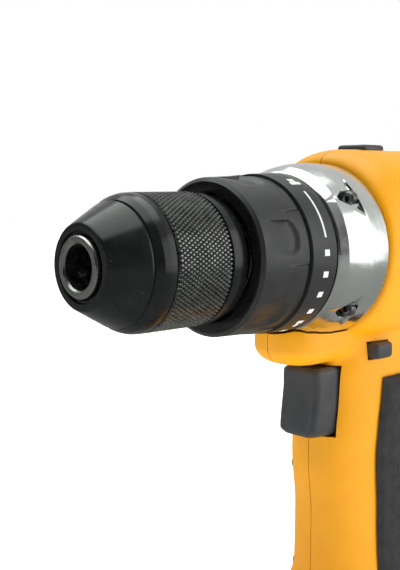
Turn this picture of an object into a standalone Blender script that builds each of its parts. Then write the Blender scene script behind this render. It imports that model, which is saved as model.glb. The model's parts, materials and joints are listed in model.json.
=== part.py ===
"""Cordless drill-driver with a metal keyless chuck, a torque collar and a slide-on battery.

Metres, +Z up, +X towards the chuck. The origin is the centre of the battery's flat underside.
Dimensions below are millimetres. A station s is a distance behind the chuck's nose rim along the
spindle axis, u is a distance to the left (+Y) and w a height above the spindle axis.
"""

import math

import bmesh
import bpy
from mathutils import Matrix, Vector

# ---------------------------------------------------------------- driving dimensions (mm)
MM = 0.001
NOSE_X = 125.0
AXIS_Z = 203.0
GAP = 0.3

JAW_TILT = math.radians(20.0)
JAW_ANGLES = (-145.0, -25.0, 95.0)
JAW_RADIUS = 3.0
JAW_AXIS_R0 = 2.49
JAW_TIP_S = 7.5
JAW_END_S = 31.0
JAW_OPEN_R = 6.5
BORE_R = 6.8

GEAR_MODULE = 1.133
SUN_TEETH = 12
PLANET_TEETH = 12
RING_TEETH = 36
GEAR_BACKLASH = 0.45
PLANET_ANGLES = (0.0, 120.0, 240.0)
GEAR_S = (94.0, 101.0)

GEARCASE_SCREW_R = 29.6
GEARCASE_SCREW_ANGLES = (40.0, 140.0, 220.0, 320.0)

HOUSING_SCREWS = (
    (122.0, 26.0, 19.0),
    (186.0, -22.0, 17.0),
    (152.0, -41.0, 9.5),
    (112.0, -84.0, 10.8),
    (113.5, -124.0, 11.0),
)

BATTERY_S = (67.0, 183.0)
BATTERY_HALF_WIDTH = 37.0
BATTERY_TOP = -165.4
CELL_RADIUS = 10.5
CELL_LENGTH = 69.6
CELL_COUNT = 5
CELL_PITCH = 21.5

ROUND = 36
SMALL = 16
INNER = 24

# stations of the motor barrel: s, top, half width, bottom (heights from the axis)
BARREL = (
    (108.2, 32.4, 32.3, 32.3),
    (109.0, 33.5, 32.7, 32.7),
    (110.6, 34.7, 33.2, 33.0),
    (113.2, 35.7, 33.6, 33.3),
    (119.0, 36.7, 34.0, 33.6),
    (136.0, 36.9, 34.0, 33.6),
    (165.0, 36.2, 33.0, 32.8),
    (188.0, 34.6, 31.0, 31.0),
    (200.0, 33.3, 29.8, 29.8),
)


# stations of the end cap: s, top, half width, bottom
END_CAP = (
    (200.3, 33.3, 29.8, 29.8),
    (206.0, 31.9, 28.6, 28.6),
    (210.5, 29.2, 26.2, 26.2),
    (213.2, 25.4, 22.6, 22.6),
    (214.0, 21.5, 19.0, 19.0),
)

# levels of the grip: w, front s, rear s, half width
GRIP = (
    (-20.0, 112.0, 168.0, 16.0),
    (-34.0, 108.0, 162.0, 16.6),
    (-46.0, 105.6, 156.5, 17.0),
    (-57.0, 105.0, 153.5, 17.2),
    (-66.0, 103.9, 151.8, 17.2),
    (-78.0, 103.4, 150.4, 17.0),
    (-100.0, 105.5, 151.0, 16.8),
    (-122.0, 105.5, 153.0, 17.4),
    (-134.0, 100.5, 157.5, 20.5),
    (-142.0, 90.0, 164.0, 26.5),
    (-148.0, 80.0, 171.0, 32.0),
)

# levels of the foot: w, front s, rear s, half width
FOOT = (
    (-147.0, 81.0, 170.0, 31.0),
    (-151.0, 74.5, 176.0, 34.5),
    (-156.0, 70.8, 179.6, 36.3),
    (-164.2, 70.0, 180.5, 36.8),
    (-165.1, 70.6, 179.9, 36.2),
)

# levels of the chin in front of the trigger: w, front s, half width
CHIN = (
    (-26.0, 80.9, 13.0),
    (-29.5, 80.5, 13.4),
    (-34.6, 80.6, 13.6),
    (-37.0, 81.6, 12.9),
    (-38.9, 83.6, 11.2),
    (-40.5, 88.0, 8.4),
    (-41.3, 93.0, 5.0),
)

# levels of the trigger: w, front s, half width in front, half width behind
TRIGGER = (
    (-42.9, 98.4, 7.4, 8.2),
    (-44.4, 97.0, 8.6, 9.2),
    (-50.0, 97.3, 9.0, 9.5),
    (-56.5, 96.7, 9.1, 9.6),
    (-62.0, 95.9, 9.0, 9.5),
    (-66.4, 95.3, 8.6, 9.2),
    (-68.2, 96.5, 7.2, 8.2),
)

# ---------------------------------------------------------------- colours
PAINTS = {
    "steel_bright": ((0.55, 0.56, 0.55), 0.25, 1.0),
    "steel_black": ((0.015, 0.015, 0.017), 0.28, 0.6),
    "steel_grey": ((0.32, 0.33, 0.34), 0.4, 1.0),
    "alloy_polished": ((0.78, 0.79, 0.78), 0.16, 1.0),
    "plastic_black": ((0.035, 0.035, 0.037), 0.5, 0.0),
    "plastic_charcoal": ((0.055, 0.057, 0.062), 0.45, 0.0),
    "plastic_yellow": ((0.93, 0.42, 0.015), 0.33, 0.0),
    "rubber_black": ((0.03, 0.03, 0.032), 0.75, 0.0),
    "magnet_grey": ((0.12, 0.12, 0.13), 0.6, 0.3),
    "copper": ((0.72, 0.36, 0.2), 0.35, 1.0),
    "brass": ((0.78, 0.6, 0.26), 0.3, 1.0),
    "cell_sleeve": ((0.08, 0.26, 0.34), 0.4, 0.0),
    "lens_clear": ((0.85, 0.88, 0.9), 0.08, 0.0),
    "lead_red": ((0.5, 0.02, 0.02), 0.5, 0.0),
    "lead_black": ((0.02, 0.02, 0.02), 0.5, 0.0),
}


# ---------------------------------------------------------------- scene helpers
def clear_scene():
    for item in list(bpy.data.objects):
        bpy.data.objects.remove(item, do_unlink=True)


def new_collection(name):
    collection = bpy.data.collections.new(name)
    bpy.context.scene.collection.children.link(collection)
    return collection


def paint(name):
    material = bpy.data.materials.get(name)
    if material is None:
        colour, roughness, metallic = PAINTS[name]
        material = bpy.data.materials.new(name)
        material.use_nodes = True
        shader = material.node_tree.nodes["Principled BSDF"]
        shader.inputs["Base Color"].default_value = (*colour, 1.0)
        shader.inputs["Roughness"].default_value = roughness
        shader.inputs["Metallic"].default_value = metallic
        material.diffuse_color = (*colour, 1.0)
    return material


def own_paint(obj, name):
    """Each piece keeps its own copy of its material, named for the piece."""
    material = paint(name).copy()
    material.name = obj.name
    obj.data.materials.clear()
    obj.data.materials.append(material)


def at(s, u=0.0, w=0.0):
    return Vector(((NOSE_X - s) * MM, u * MM, (AXIS_Z + w) * MM))


def polar(radius, degrees):
    """(u, w) of a point at a radius and an angle from +Y towards +Z."""
    a = math.radians(degrees)
    return radius * math.cos(a), radius * math.sin(a)


def place(name, mesh, origin, collection):
    """Object for a mesh in world coordinates, with its origin moved to a point."""
    mesh.name = name
    mesh.transform(Matrix.Translation(-origin))
    obj = bpy.data.objects.new(name, mesh)
    obj.location = origin
    collection.objects.link(obj)
    return obj


def as_cutter(obj):
    obj.hide_render = True
    obj.display_type = "WIRE"
    return obj


def finish(obj, colour, parent=None, sharp=35.0):
    if obj.data.polygons:
        obj.data.shade_smooth()
        obj.data.set_sharp_from_angle(angle=math.radians(sharp))
    own_paint(obj, colour)
    if parent is not None:
        obj.parent = parent
        obj.matrix_parent_inverse = Matrix.Translation(parent.location).inverted()
    return obj


def boolean(obj, other, operation="DIFFERENCE"):
    modifier = obj.modifiers.new(operation.lower(), "BOOLEAN")
    modifier.operation = operation
    modifier.solver = "EXACT"
    modifier.object = other
    return modifier


def empty(name, origin):
    obj = bpy.data.objects.new(name, None)
    obj.empty_display_size = 0.01
    obj.location = origin
    PARTS.objects.link(obj)
    return obj


# ---------------------------------------------------------------- shape helpers
def turned(name, profile, steps, collection, closed=True):
    """Solid of revolution about the spindle axis from (s, r) points, outer side first, front to back."""
    bm = bmesh.new()
    points = [bm.verts.new((r * MM, 0.0, -s * MM)) for s, r in profile]
    for a, b in zip(points, points[1:]):
        bm.edges.new((a, b))
    if closed:
        bm.edges.new((points[-1], points[0]))
    mesh = bpy.data.meshes.new(name)
    bm.to_mesh(mesh)
    bm.free()
    obj = bpy.data.objects.new(name, mesh)
    obj.location = at(0.0)
    obj.rotation_euler = (0.0, math.pi / 2.0, 0.0)
    screw = obj.modifiers.new("turn", "SCREW")
    screw.axis = "Z"
    screw.angle = 2.0 * math.pi
    screw.steps = steps
    screw.render_steps = steps
    screw.use_merge_vertices = True
    screw.merge_threshold = 1e-6
    screw.use_smooth_shade = True
    collection.objects.link(obj)
    return obj


def evaluated_mesh(obj):
    graph = bpy.context.evaluated_depsgraph_get()
    graph.update()
    return bpy.data.meshes.new_from_object(obj.evaluated_get(graph))


def freeze(obj, collection):
    """The object with its modifiers applied, its mesh in world coordinates and no rotation left."""
    mesh = evaluated_mesh(obj)
    origin = obj.location.copy()
    turn = obj.rotation_euler.to_matrix().to_4x4()
    mesh.transform(Matrix.Translation(origin) @ turn)
    name = obj.name
    bpy.data.objects.remove(obj, do_unlink=True)
    return place(name, mesh, origin, collection)


def block(name, s, u, w, collection, bevel=0.0, segments=2, origin=None):
    """Box between two stations, two sides and two levels, with rounded edges."""
    low, high = at(max(s), min(u), min(w)), at(min(s), max(u), max(w))
    bm = bmesh.new()
    bmesh.ops.create_cube(bm, size=1.0)
    size = high - low
    middle = (low + high) / 2.0
    bmesh.ops.transform(bm, matrix=Matrix.Translation(middle) @ Matrix.Diagonal((*size, 1.0)), verts=bm.verts)
    mesh = bpy.data.meshes.new(name)
    bm.to_mesh(mesh)
    bm.free()
    obj = place(name, mesh, middle if origin is None else origin, collection)
    if bevel:
        modifier = obj.modifiers.new("round", "BEVEL")
        modifier.width = bevel * MM
        modifier.segments = segments
        modifier.limit_method = "ANGLE"
        modifier.use_clamp_overlap = True
    return obj


def rod(name, start, end, radius, steps, collection, radius_end=None, origin=None):
    """Cylinder or cone between two points."""
    axis = end - start
    bm = bmesh.new()
    bmesh.ops.create_cone(
        bm,
        cap_ends=True,
        segments=steps,
        radius1=radius * MM,
        radius2=(radius if radius_end is None else radius_end) * MM,
        depth=axis.length,
    )
    turn = axis.to_track_quat("Z", "Y").to_matrix().to_4x4()
    bmesh.ops.transform(bm, matrix=Matrix.Translation((start + end) / 2.0) @ turn, verts=bm.verts)
    mesh = bpy.data.meshes.new(name)
    bm.to_mesh(mesh)
    bm.free()
    return place(name, mesh, (start + end) / 2.0 if origin is None else origin, collection)


def extruded(name, outlines, matrix, thickness, collection, origin):
    """Flat outline (first) with holes (the rest), given thickness along its normal."""
    curve = bpy.data.curves.new(name, "CURVE")
    curve.dimensions = "2D"
    curve.fill_mode = "BOTH"
    curve.extrude = thickness * MM / 2.0
    for outline in outlines:
        spline = curve.splines.new("POLY")
        spline.points.add(len(outline) - 1)
        for point, (a, b) in zip(spline.points, outline):
            point.co = (a * MM, b * MM, 0.0, 1.0)
        spline.use_cyclic_u = True
    source = bpy.data.objects.new(name + "_outline", curve)
    bpy.context.scene.collection.objects.link(source)
    mesh = evaluated_mesh(source)
    bpy.data.objects.remove(source, do_unlink=True)
    bm = bmesh.new()
    bm.from_mesh(mesh)
    bmesh.ops.remove_doubles(bm, verts=bm.verts, dist=1e-6)
    bmesh.ops.recalc_face_normals(bm, faces=bm.faces)
    bm.to_mesh(mesh)
    bm.free()
    mesh.transform(matrix)
    return place(name, mesh, origin, collection)


def facing_forward(s):
    """Matrix that lays an outline in (u, w) across the spindle axis at a station."""
    return Matrix.Translation(at(s)) @ Matrix(((0, 0, 1, 0), (1, 0, 0, 0), (0, 1, 0, 0), (0, 0, 0, 1)))


def loft(name, rings, collection, origin):
    """Closed solid through rings of equal counts, capped at both ends."""
    bm = bmesh.new()
    levels = [[bm.verts.new(point) for point in ring] for ring in rings]
    count = len(rings[0])
    for low, high in zip(levels, levels[1:]):
        for i in range(count):
            j = (i + 1) % count
            bm.faces.new((low[i], low[j], high[j], high[i]))
    bm.faces.new(list(reversed(levels[0])))
    bm.faces.new(levels[-1])
    bmesh.ops.recalc_face_normals(bm, faces=bm.faces)
    bmesh.ops.triangulate(bm, faces=bm.faces)
    mesh = bpy.data.meshes.new(name)
    bm.to_mesh(mesh)
    bm.free()
    return place(name, mesh, origin, collection)


def rounded(angle, exponent):
    """Unit superellipse point at an angle."""
    c, s = math.cos(angle), math.sin(angle)
    x = math.copysign(abs(c) ** (2.0 / exponent), c)
    y = math.copysign(abs(s) ** (2.0 / exponent), s)
    return x, y


def upright_ring(s, top, half_width, bottom, exponent, count, shrink=0.0):
    """Section across the barrel: wider shoulders than an ellipse."""
    ring = []
    for i in range(count):
        x, y = rounded(2.0 * math.pi * (i + 0.5) / count, exponent)
        height = (top - shrink) if y > 0 else (bottom - shrink)
        ring.append(at(s, x * (half_width - shrink), y * height))
    return ring


def level_ring(w, front, rear, half_width, exponent, count, shrink=0.0):
    """Section across the grip or the foot at one level."""
    middle, half = (front + rear) / 2.0, (rear - front) / 2.0 - shrink
    ring = []
    for i in range(count):
        x, y = rounded(2.0 * math.pi * (i + 0.5) / count, exponent)
        ring.append(at(middle - x * half, y * (half_width - shrink), w))
    return ring


def grip_at(level):
    """Front, rear and half width of the grip at a level, read between its stations."""
    for (w0, *a), (w1, *b) in zip(GRIP, GRIP[1:]):
        if w1 <= level <= w0:
            t = (level - w0) / (w1 - w0)
            return [x + (y - x) * t for x, y in zip(a, b)]
    return list(GRIP[-1][1:])


def gear_outline(teeth, inner=False, phase=0.0):
    """Straight-flanked teeth on a pitch circle, thinned for backlash."""
    pitch = GEAR_MODULE * teeth / 2.0
    tip = pitch - 0.8 * GEAR_MODULE if inner else pitch + 0.8 * GEAR_MODULE
    root = pitch + 1.1 * GEAR_MODULE if inner else pitch - 1.1 * GEAR_MODULE
    thick = math.pi * GEAR_MODULE / 2.0 - GEAR_BACKLASH
    at_root = (thick + 0.75) / 2.0 / root
    at_tip = (thick - 0.70) / 2.0 / tip
    points = []
    for i in range(teeth):
        middle = phase + 2.0 * math.pi * i / teeth
        for radius, offset in ((root, -at_root), (tip, -at_tip), (tip, at_tip), (root, at_root)):
            a = middle + offset
            points.append((radius * math.cos(a), radius * math.sin(a)))
    return points


def circle(radius, count, centre=(0.0, 0.0)):
    return [
        (
            centre[0] + radius * math.cos(2.0 * math.pi * i / count),
            centre[1] + radius * math.sin(2.0 * math.pi * i / count),
        )
        for i in range(count)
    ]


def coil(name, start, end, radius, wire, turns, per_turn, collection, colour, parent):
    """Compression spring between two points, as one swept wire."""
    axis = end - start
    turn = axis.to_track_quat("Z", "Y").to_matrix()
    total = int(turns * per_turn)
    curve = bpy.data.curves.new(name, "CURVE")
    curve.dimensions = "3D"
    curve.bevel_depth = wire * MM
    curve.bevel_resolution = 0
    curve.use_fill_caps = True
    spline = curve.splines.new("POLY")
    spline.points.add(total)
    length = axis.length - 2.2 * wire * MM
    for i, point in enumerate(spline.points):
        a = 2.0 * math.pi * i / per_turn
        local = Vector((radius * MM * math.cos(a), radius * MM * math.sin(a), 1.1 * wire * MM + length * i / total))
        point.co = (*(start + turn @ local), 1.0)
    return tube_to_mesh(name, curve, start, collection, colour, parent)


def tube_to_mesh(name, curve, origin, collection, colour, parent):
    source = bpy.data.objects.new(name + "_wire", curve)
    bpy.context.scene.collection.objects.link(source)
    mesh = evaluated_mesh(source)
    bpy.data.objects.remove(source, do_unlink=True)
    bm = bmesh.new()
    bm.from_mesh(mesh)
    bmesh.ops.remove_doubles(bm, verts=bm.verts, dist=1e-6)
    bmesh.ops.recalc_face_normals(bm, faces=bm.faces)
    bm.to_mesh(mesh)
    bm.free()
    return finish(place(name, mesh, origin, collection), colour, parent)


def lead(name, route, radius, colour):
    """Insulated wire along a smooth route through a few points."""
    points = [at(*p) for p in route]
    smooth = []
    for i in range(len(points) - 1):
        p0 = points[max(i - 1, 0)]
        p1, p2 = points[i], points[i + 1]
        p3 = points[min(i + 2, len(points) - 1)]
        for k in range(3):
            t = k / 3.0
            a = 2.0 * p1 + (p2 - p0) * t
            b = (2.0 * p0 - 5.0 * p1 + 4.0 * p2 - p3) * t * t
            c = (3.0 * p1 - p0 - 3.0 * p2 + p3) * t * t * t
            smooth.append((a + b + c) / 2.0)
    smooth.append(points[-1])
    curve = bpy.data.curves.new(name, "CURVE")
    curve.dimensions = "3D"
    curve.bevel_depth = radius * MM
    curve.bevel_resolution = 0
    curve.use_fill_caps = True
    spline = curve.splines.new("POLY")
    spline.points.add(len(smooth) - 1)
    for point, position in zip(spline.points, smooth):
        point.co = (*position, 1.0)
    return tube_to_mesh(name, curve, points[0], PARTS, colour, None)


# ---------------------------------------------------------------- chuck
def jaw_axis(angle):
    """A point on a jaw's axis at the nose plane, and the axis's direction towards the back."""
    u, w = polar(JAW_AXIS_R0, angle)
    base = at(0.0, u, w)
    ru, rw = polar(1.0, angle)
    outward = Vector((0.0, ru, rw))
    back = Vector((-math.cos(JAW_TILT), 0.0, 0.0)) + outward * math.sin(JAW_TILT)
    return base, back, outward


def jaw_point(angle, s):
    base, back, _ = jaw_axis(angle)
    return base + back * (s * MM / math.cos(JAW_TILT))


def build_chuck(spindle):
    body = turned(
        "chuck_body",
        [
            (-1.5, 9.0),
            (-1.0, 9.46),
            (9.5, 9.46),
            (14.8, 10.2),
            (21.9, 12.5),
            (22.3, 17.6),
            (31.6, 17.6),
            (32.0, 10.8),
            (48.2, 10.8),
            (48.2, 6.25),
            (24.0, 6.25),
            (24.0, BORE_R),
            (-0.9, BORE_R),
            (-1.5, 7.4),
        ],
        ROUND,
        PARTS,
    )
    for angle in JAW_ANGLES:
        bore = rod(
            f"jaw_bore_{int(angle)}",
            jaw_point(angle, -4.0),
            jaw_point(angle, 33.0),
            JAW_RADIUS + GAP,
            12,
            CUTTERS,
        )
        boolean(body, as_cutter(bore))
    finish(body, "steel_bright", spindle)

    for number, angle in enumerate(JAW_ANGLES, start=1):
        jaw = rod(
            f"chuck_jaw_{number}",
            jaw_point(angle, JAW_TIP_S),
            jaw_point(angle, JAW_END_S),
            JAW_RADIUS,
            12,
            PARTS,
        )
        _, _, outward = jaw_axis(angle)
        for side in (-1.0, 1.0):
            # two flat gripping faces that meet in an edge along the drill's axis
            normal = Matrix.Rotation(side * math.radians(30.0), 3, "X") @ outward
            edge = at(0.0) + outward * JAW_OPEN_R * MM
            half = 30.0
            middle = edge - normal * half * MM + Vector((-20.0 * MM, 0.0, 0.0))
            cutter = rod(f"jaw_face_{number}_{int(side)}", middle - normal * half * MM, middle + normal * half * MM,
                         40.0, 4, CUTTERS)
            boolean(jaw, as_cutter(cutter))
        end = rod(f"jaw_tip_{number}", at(JAW_TIP_S + 1.0), at(JAW_TIP_S - 12.0), 16.0, 12, CUTTERS)
        boolean(jaw, as_cutter(end))
        finish(jaw, "steel_bright", spindle)

    nose = turned(
        "chuck_nose_sleeve",
        [
            (-0.5, 12.9),
            (-0.1, 13.3),
            (11.4, 19.45),
            (12.0, 19.0),
            (12.6, 19.75),
            (14.5, 21.0),
            (16.5, 21.6),
            (18.6, 21.7),
            (18.6, 19.2),
            (14.0, 19.0),
            (10.0, 15.2),
            (10.0, 9.9),
            (0.0, 9.9),
        ],
        ROUND,
        PARTS,
    )
    finish(nose, "steel_black", spindle)

    grip = turned(
        "chuck_grip_sleeve",
        [
            (18.9, 21.75),
            (41.9, 21.75),
            (42.1, 21.5),
            (45.1, 21.68),
            (45.5, 21.3),
            (45.5, 19.2),
            (18.9, 19.2),
        ],
        ROUND,
        PARTS,
    )
    finish(grip, "steel_black", spindle)

    nut = turned(
        "chuck_nut",
        [(14.9, 17.2), (15.6, 18.7), (19.3, 18.7), (19.3, 13.1), (14.9, 11.5)],
        INNER,
        PARTS,
    )
    finish(nut, "steel_grey", spindle)

    rear = turned(
        "chuck_rear_ring",
        [(45.8, 20.8), (48.6, 20.8), (48.6, 11.1), (45.8, 11.1)],
        INNER,
        PARTS,
    )
    finish(rear, "steel_black", spindle)

    screw = turned(
        "chuck_screw",
        [(22.4, 0.0), (22.4, 4.0), (22.8, 4.4), (25.7, 4.4), (25.7, 2.4), (40.0, 2.4), (40.0, 0.0)],
        12,
        PARTS,
        closed=False,
    )
    socket = rod("chuck_screw_socket", at(21.0), at(24.2), 2.4, 6, CUTTERS)
    boolean(screw, as_cutter(socket))
    finish(screw, "steel_grey", spindle)


# ---------------------------------------------------------------- gearbox and spindle
def build_gearbox(spindle):
    shaft = turned(
        "spindle",
        [
            (26.0, 5.9),
            (48.6, 5.9),
            (48.9, 7.5),
            (88.2, 7.5),
            (88.5, 9.2),
            (91.0, 9.2),
            (91.0, 3.2),
            (88.0, 3.2),
            (88.0, 2.7),
            (26.0, 2.7),
        ],
        SMALL,
        PARTS,
    )
    finish(shaft, "steel_grey", spindle)

    front = turned("spindle_bearing", [(58.5, 11.6), (67.0, 11.6), (67.0, 7.8), (58.5, 7.8)], SMALL, PARTS)
    finish(front, "steel_bright")

    centre = GEAR_MODULE * (SUN_TEETH + PLANET_TEETH) / 2.0
    carrier = turned(
        "planet_carrier",
        [(91.3, 17.8), (93.2, 17.8), (93.2, 3.0), (91.3, 3.0)],
        SMALL,
        PARTS,
    )
    for angle in PLANET_ANGLES:
        u, w = polar(centre, angle)
        pin = rod(f"planet_pin_{int(angle)}", at(92.2, u, w), at(GEAR_S[1] + 1.0, u, w), 2.0, 12, CUTTERS)
        boolean(carrier, as_cutter(pin), "UNION")
    finish(carrier, "steel_grey", spindle)

    thickness = GEAR_S[1] - GEAR_S[0]
    middle = (GEAR_S[0] + GEAR_S[1]) / 2.0
    for number, angle in enumerate(PLANET_ANGLES, start=1):
        u, w = polar(centre, angle)
        outline = gear_outline(PLANET_TEETH, phase=math.pi / PLANET_TEETH)
        matrix = Matrix.Translation(at(middle, u, w) - at(middle)) @ facing_forward(middle)
        planet = extruded(
            f"planet_gear_{number}",
            [outline, circle(2.3, 12)],
            matrix,
            thickness,
            PARTS,
            at(middle, u, w),
        )
        finish(planet, "steel_grey")

    ring = extruded(
        "ring_gear",
        [circle(24.0, INNER), gear_outline(RING_TEETH, inner=True)],
        facing_forward(middle),
        thickness + 1.0,
        PARTS,
        at(middle),
    )
    finish(ring, "steel_grey")

    case = turned(
        "gear_case",
        [
            (56.0, 15.2),
            (84.6, 15.2),
            (84.6, 27.8),
            (85.0, 28.3),
            (88.0, 30.0),
            (93.0, 31.0),
            (99.0, 31.5),
            (107.7, 31.5),
            (107.7, 26.1),
            (111.0, 26.1),
            (111.0, 24.3),
            (88.4, 24.3),
            (88.4, 11.9),
            (58.2, 11.9),
            (58.2, 9.5),
            (56.0, 9.5),
        ],
        ROUND,
        PARTS,
    )
    for angle in GEARCASE_SCREW_ANGLES:
        u, w = polar(GEARCASE_SCREW_R, angle)
        # a scoop that runs down and back to the screw's seat, then the seat and the screw's hole
        scoop = rod(
            f"screw_scoop_{int(angle)}",
            at(82.0, *polar(36.3, angle)),
            at(98.3, *polar(29.9, angle)),
            3.2,
            12,
            CUTTERS,
        )
        boolean(case, as_cutter(scoop))
        seat = rod(f"screw_seat_{int(angle)}", at(92.0, u, w), at(98.3, u, w), 2.9, 12, CUTTERS)
        boolean(case, as_cutter(seat))
        hole = rod(f"screw_hole_{int(angle)}", at(96.0, u, w), at(108.6, u, w), 1.7, 8, CUTTERS)
        boolean(case, as_cutter(hole))
    finish(case, "alloy_polished")

    for number, angle in enumerate(GEARCASE_SCREW_ANGLES, start=1):
        screw = turned(
            f"gearcase_screw_{number}",
            [(95.2, 0.0), (95.2, 2.1), (95.7, 2.5), (98.0, 2.5), (98.0, 1.4), (109.7, 1.4), (109.7, 0.0)],
            8,
            PARTS,
            closed=False,
        )
        u, w = polar(GEARCASE_SCREW_R, angle)
        screw.location = at(0.0, u, w)
        finish(screw, "steel_grey")


# ---------------------------------------------------------------- torque collar and clutch
def build_collar(collar):
    grip = turned(
        "torque_collar_grip",
        [
            (49.9, 24.9),
            (51.0, 26.3),
            (60.0, 26.9),
            (71.9, 27.4),
            (71.9, 22.4),
            (53.0, 22.4),
            (52.5, 21.4),
            (49.9, 21.4),
        ],
        ROUND + 12,
        PARTS,
    )
    finish(grip, "plastic_black", collar)
    marks = turned(
        "torque_collar_marks_ring",
        [(72.2, 27.5), (83.9, 27.8), (84.2, 27.5), (84.2, 22.4), (72.2, 22.4)],
        ROUND + 12,
        PARTS,
    )
    finish(marks, "plastic_black", collar)

    nut = turned("clutch_nut", [(60.5, 21.9), (66.0, 21.9), (66.0, 15.6), (60.5, 15.6)], INNER, PARTS)
    finish(nut, "plastic_charcoal")
    coil("clutch_spring", at(66.3), at(80.4), 18.6, 1.1, 4.0, 12, PARTS, "steel_grey", None)
    plate = turned("clutch_plate", [(80.8, 21.6), (82.4, 21.6), (82.4, 15.6), (80.8, 15.6)], INNER, PARTS)
    finish(plate, "steel_grey")


# ---------------------------------------------------------------- motor
def build_motor(rotor):
    pinion = extruded(
        "motor_pinion",
        [gear_outline(SUN_TEETH), circle(2.7, 10)],
        facing_forward(98.0),
        8.0,
        PARTS,
        at(98.0),
    )
    finish(pinion, "steel_grey", rotor)
    shaft = turned(
        "motor_shaft",
        [(94.3, 0.0), (94.3, 2.3), (154.0, 2.3), (154.0, 6.5), (163.0, 6.5), (163.0, 2.3), (184.0, 2.3), (184.0, 0.0)],
        12,
        PARTS,
        closed=False,
    )
    finish(shaft, "steel_bright", rotor)
    core = turned("armature", [(122.0, 12.6), (150.0, 12.6), (150.0, 2.6), (122.0, 2.6)], SMALL, PARTS)
    finish(core, "copper", rotor)

    can = turned(
        "motor_can",
        [(110.0, 17.4), (110.8, 18.2), (168.0, 18.2), (168.0, 17.0), (111.4, 17.0), (111.4, 5.2), (110.0, 5.2)],
        INNER,
        PARTS,
    )
    finish(can, "steel_bright")
    for number, middle in enumerate((0.0, 180.0), start=1):
        outline = []
        for radius, direction in ((16.7, 1.0), (13.4, -1.0)):
            for k in range(9):
                u, w = polar(radius, middle + direction * (-62.0 + 15.5 * k))
                outline.append((u, w))
        magnet = extruded(f"motor_magnet_{number}", [outline], facing_forward(136.0), 34.0, PARTS, at(136.0))
        finish(magnet, "magnet_grey")
    bell = turned("motor_end_bell", [(168.3, 18.2), (172.0, 18.2), (172.0, 3.0), (168.3, 3.0)], INNER, PARTS)
    finish(bell, "plastic_black")

    fan = turned("motor_fan", [(174.0, 16.5), (175.4, 16.5), (182.0, 6.0), (182.0, 2.6), (174.0, 2.6)], SMALL, PARTS)
    for k in range(7):
        a = 360.0 * k / 7.0
        u0, w0 = polar(5.0, a)
        u1, w1 = polar(16.3, a + 12.0)
        start, end = at(178.6, u0, w0), at(178.6, u1, w1)
        blade = bmesh.new()
        bmesh.ops.create_cube(blade, size=1.0)
        axis = end - start
        turn = Matrix.Rotation(math.atan2(axis.z, axis.y), 4, "X")
        scale = Matrix.Diagonal((8.0 * MM, axis.length, 1.0 * MM, 1.0))
        bmesh.ops.transform(blade, matrix=Matrix.Translation((start + end) / 2.0) @ turn @ scale, verts=blade.verts)
        mesh = bpy.data.meshes.new(f"fan_blade_{k}")
        blade.to_mesh(mesh)
        blade.free()
        boolean(fan, as_cutter(place(f"fan_blade_{k}", mesh, (start + end) / 2.0, CUTTERS)), "UNION")
    finish(fan, "plastic_black", rotor)


# ---------------------------------------------------------------- housing
def chin_rings(count=10):
    """Levels of the chin: a rounded nose in plan that runs back into the grip."""
    rings = []
    for w, front, half in CHIN:
        corner = min(12.6, half)
        ring = [at(122.0, half, w), at(front + corner, half, w)]
        for k in range(1, count // 2):
            a = math.pi / 2.0 * k / (count // 2)
            ring.append(at(front + corner * (1.0 - math.sin(a)), (half - corner) + corner * math.cos(a), w))
        ring.append(at(front, max(half - corner, 0.05), w))
        mirrored = [Vector((p.x, -p.y, p.z)) for p in reversed(ring)]
        rings.append(ring + mirrored)
    return rings


def barrel_exponent(s):
    """The barrel is nearly round at its front and squarer further back."""
    return 2.0 + 0.35 * min(max((s - 108.2) / 16.0, 0.0), 1.0)


def bore_profile():
    """The space cut out of the housing for the collar, the gear case, the motor and the fan."""
    return [
        (70.0, 0.0),
        (70.0, 28.6),
        (84.4, 28.6),
        (88.0, 30.4),
        (93.0, 31.4),
        (99.0, 31.9),
        (108.0, 31.9),
        (108.0, 26.5),
        (111.3, 26.5),
        (111.3, 30.2),
        (113.0, 30.2),
        (113.0, 18.6),
        (116.0, 18.6),
        (116.0, 30.4),
        (163.0, 29.6),
        (163.0, 18.6),
        (166.5, 18.6),
        (166.5, 29.4),
        (190.0, 27.6),
        (206.0, 26.2),
        (206.0, 0.0),
    ]


def housing_tools():
    """Solids added to and cut from both halves of the housing."""
    added, cut = [], []
    grip = [level_ring(w, f, r, h, 2.5, 24) for w, f, r, h in GRIP]
    added.append(loft("grip_form", grip, CUTTERS, at(130.0, 0.0, -80.0)))
    foot = [level_ring(w, f, r, h, 4.0, 24) for w, f, r, h in FOOT]
    added.append(loft("foot_form", foot, CUTTERS, at(125.0, 0.0, -156.0)))
    added.append(loft("chin_form", chin_rings(), CUTTERS, at(100.0, 0.0, -34.0)))

    cut.append(turned("barrel_space", bore_profile(), INNER + 4, CUTTERS, closed=False))
    inside = [
        level_ring(w, *grip_at(w), 2.5, 14, shrink=3.0)
        for w in (-21.0, -46.0, -66.0, -100.0, -122.0, -134.0, -141.0)
    ]
    cut.append(loft("grip_space", inside, CUTTERS, at(130.0, 0.0, -80.0)))
    for number, (s, w, reach) in enumerate(HOUSING_SCREWS, start=1):
        boss = rod(f"boss_{number}", at(s, -reach - 1.7, w), at(s, reach, w), 3.6, 8, CUTTERS)
        added.append(boss)
    return added, cut


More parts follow.
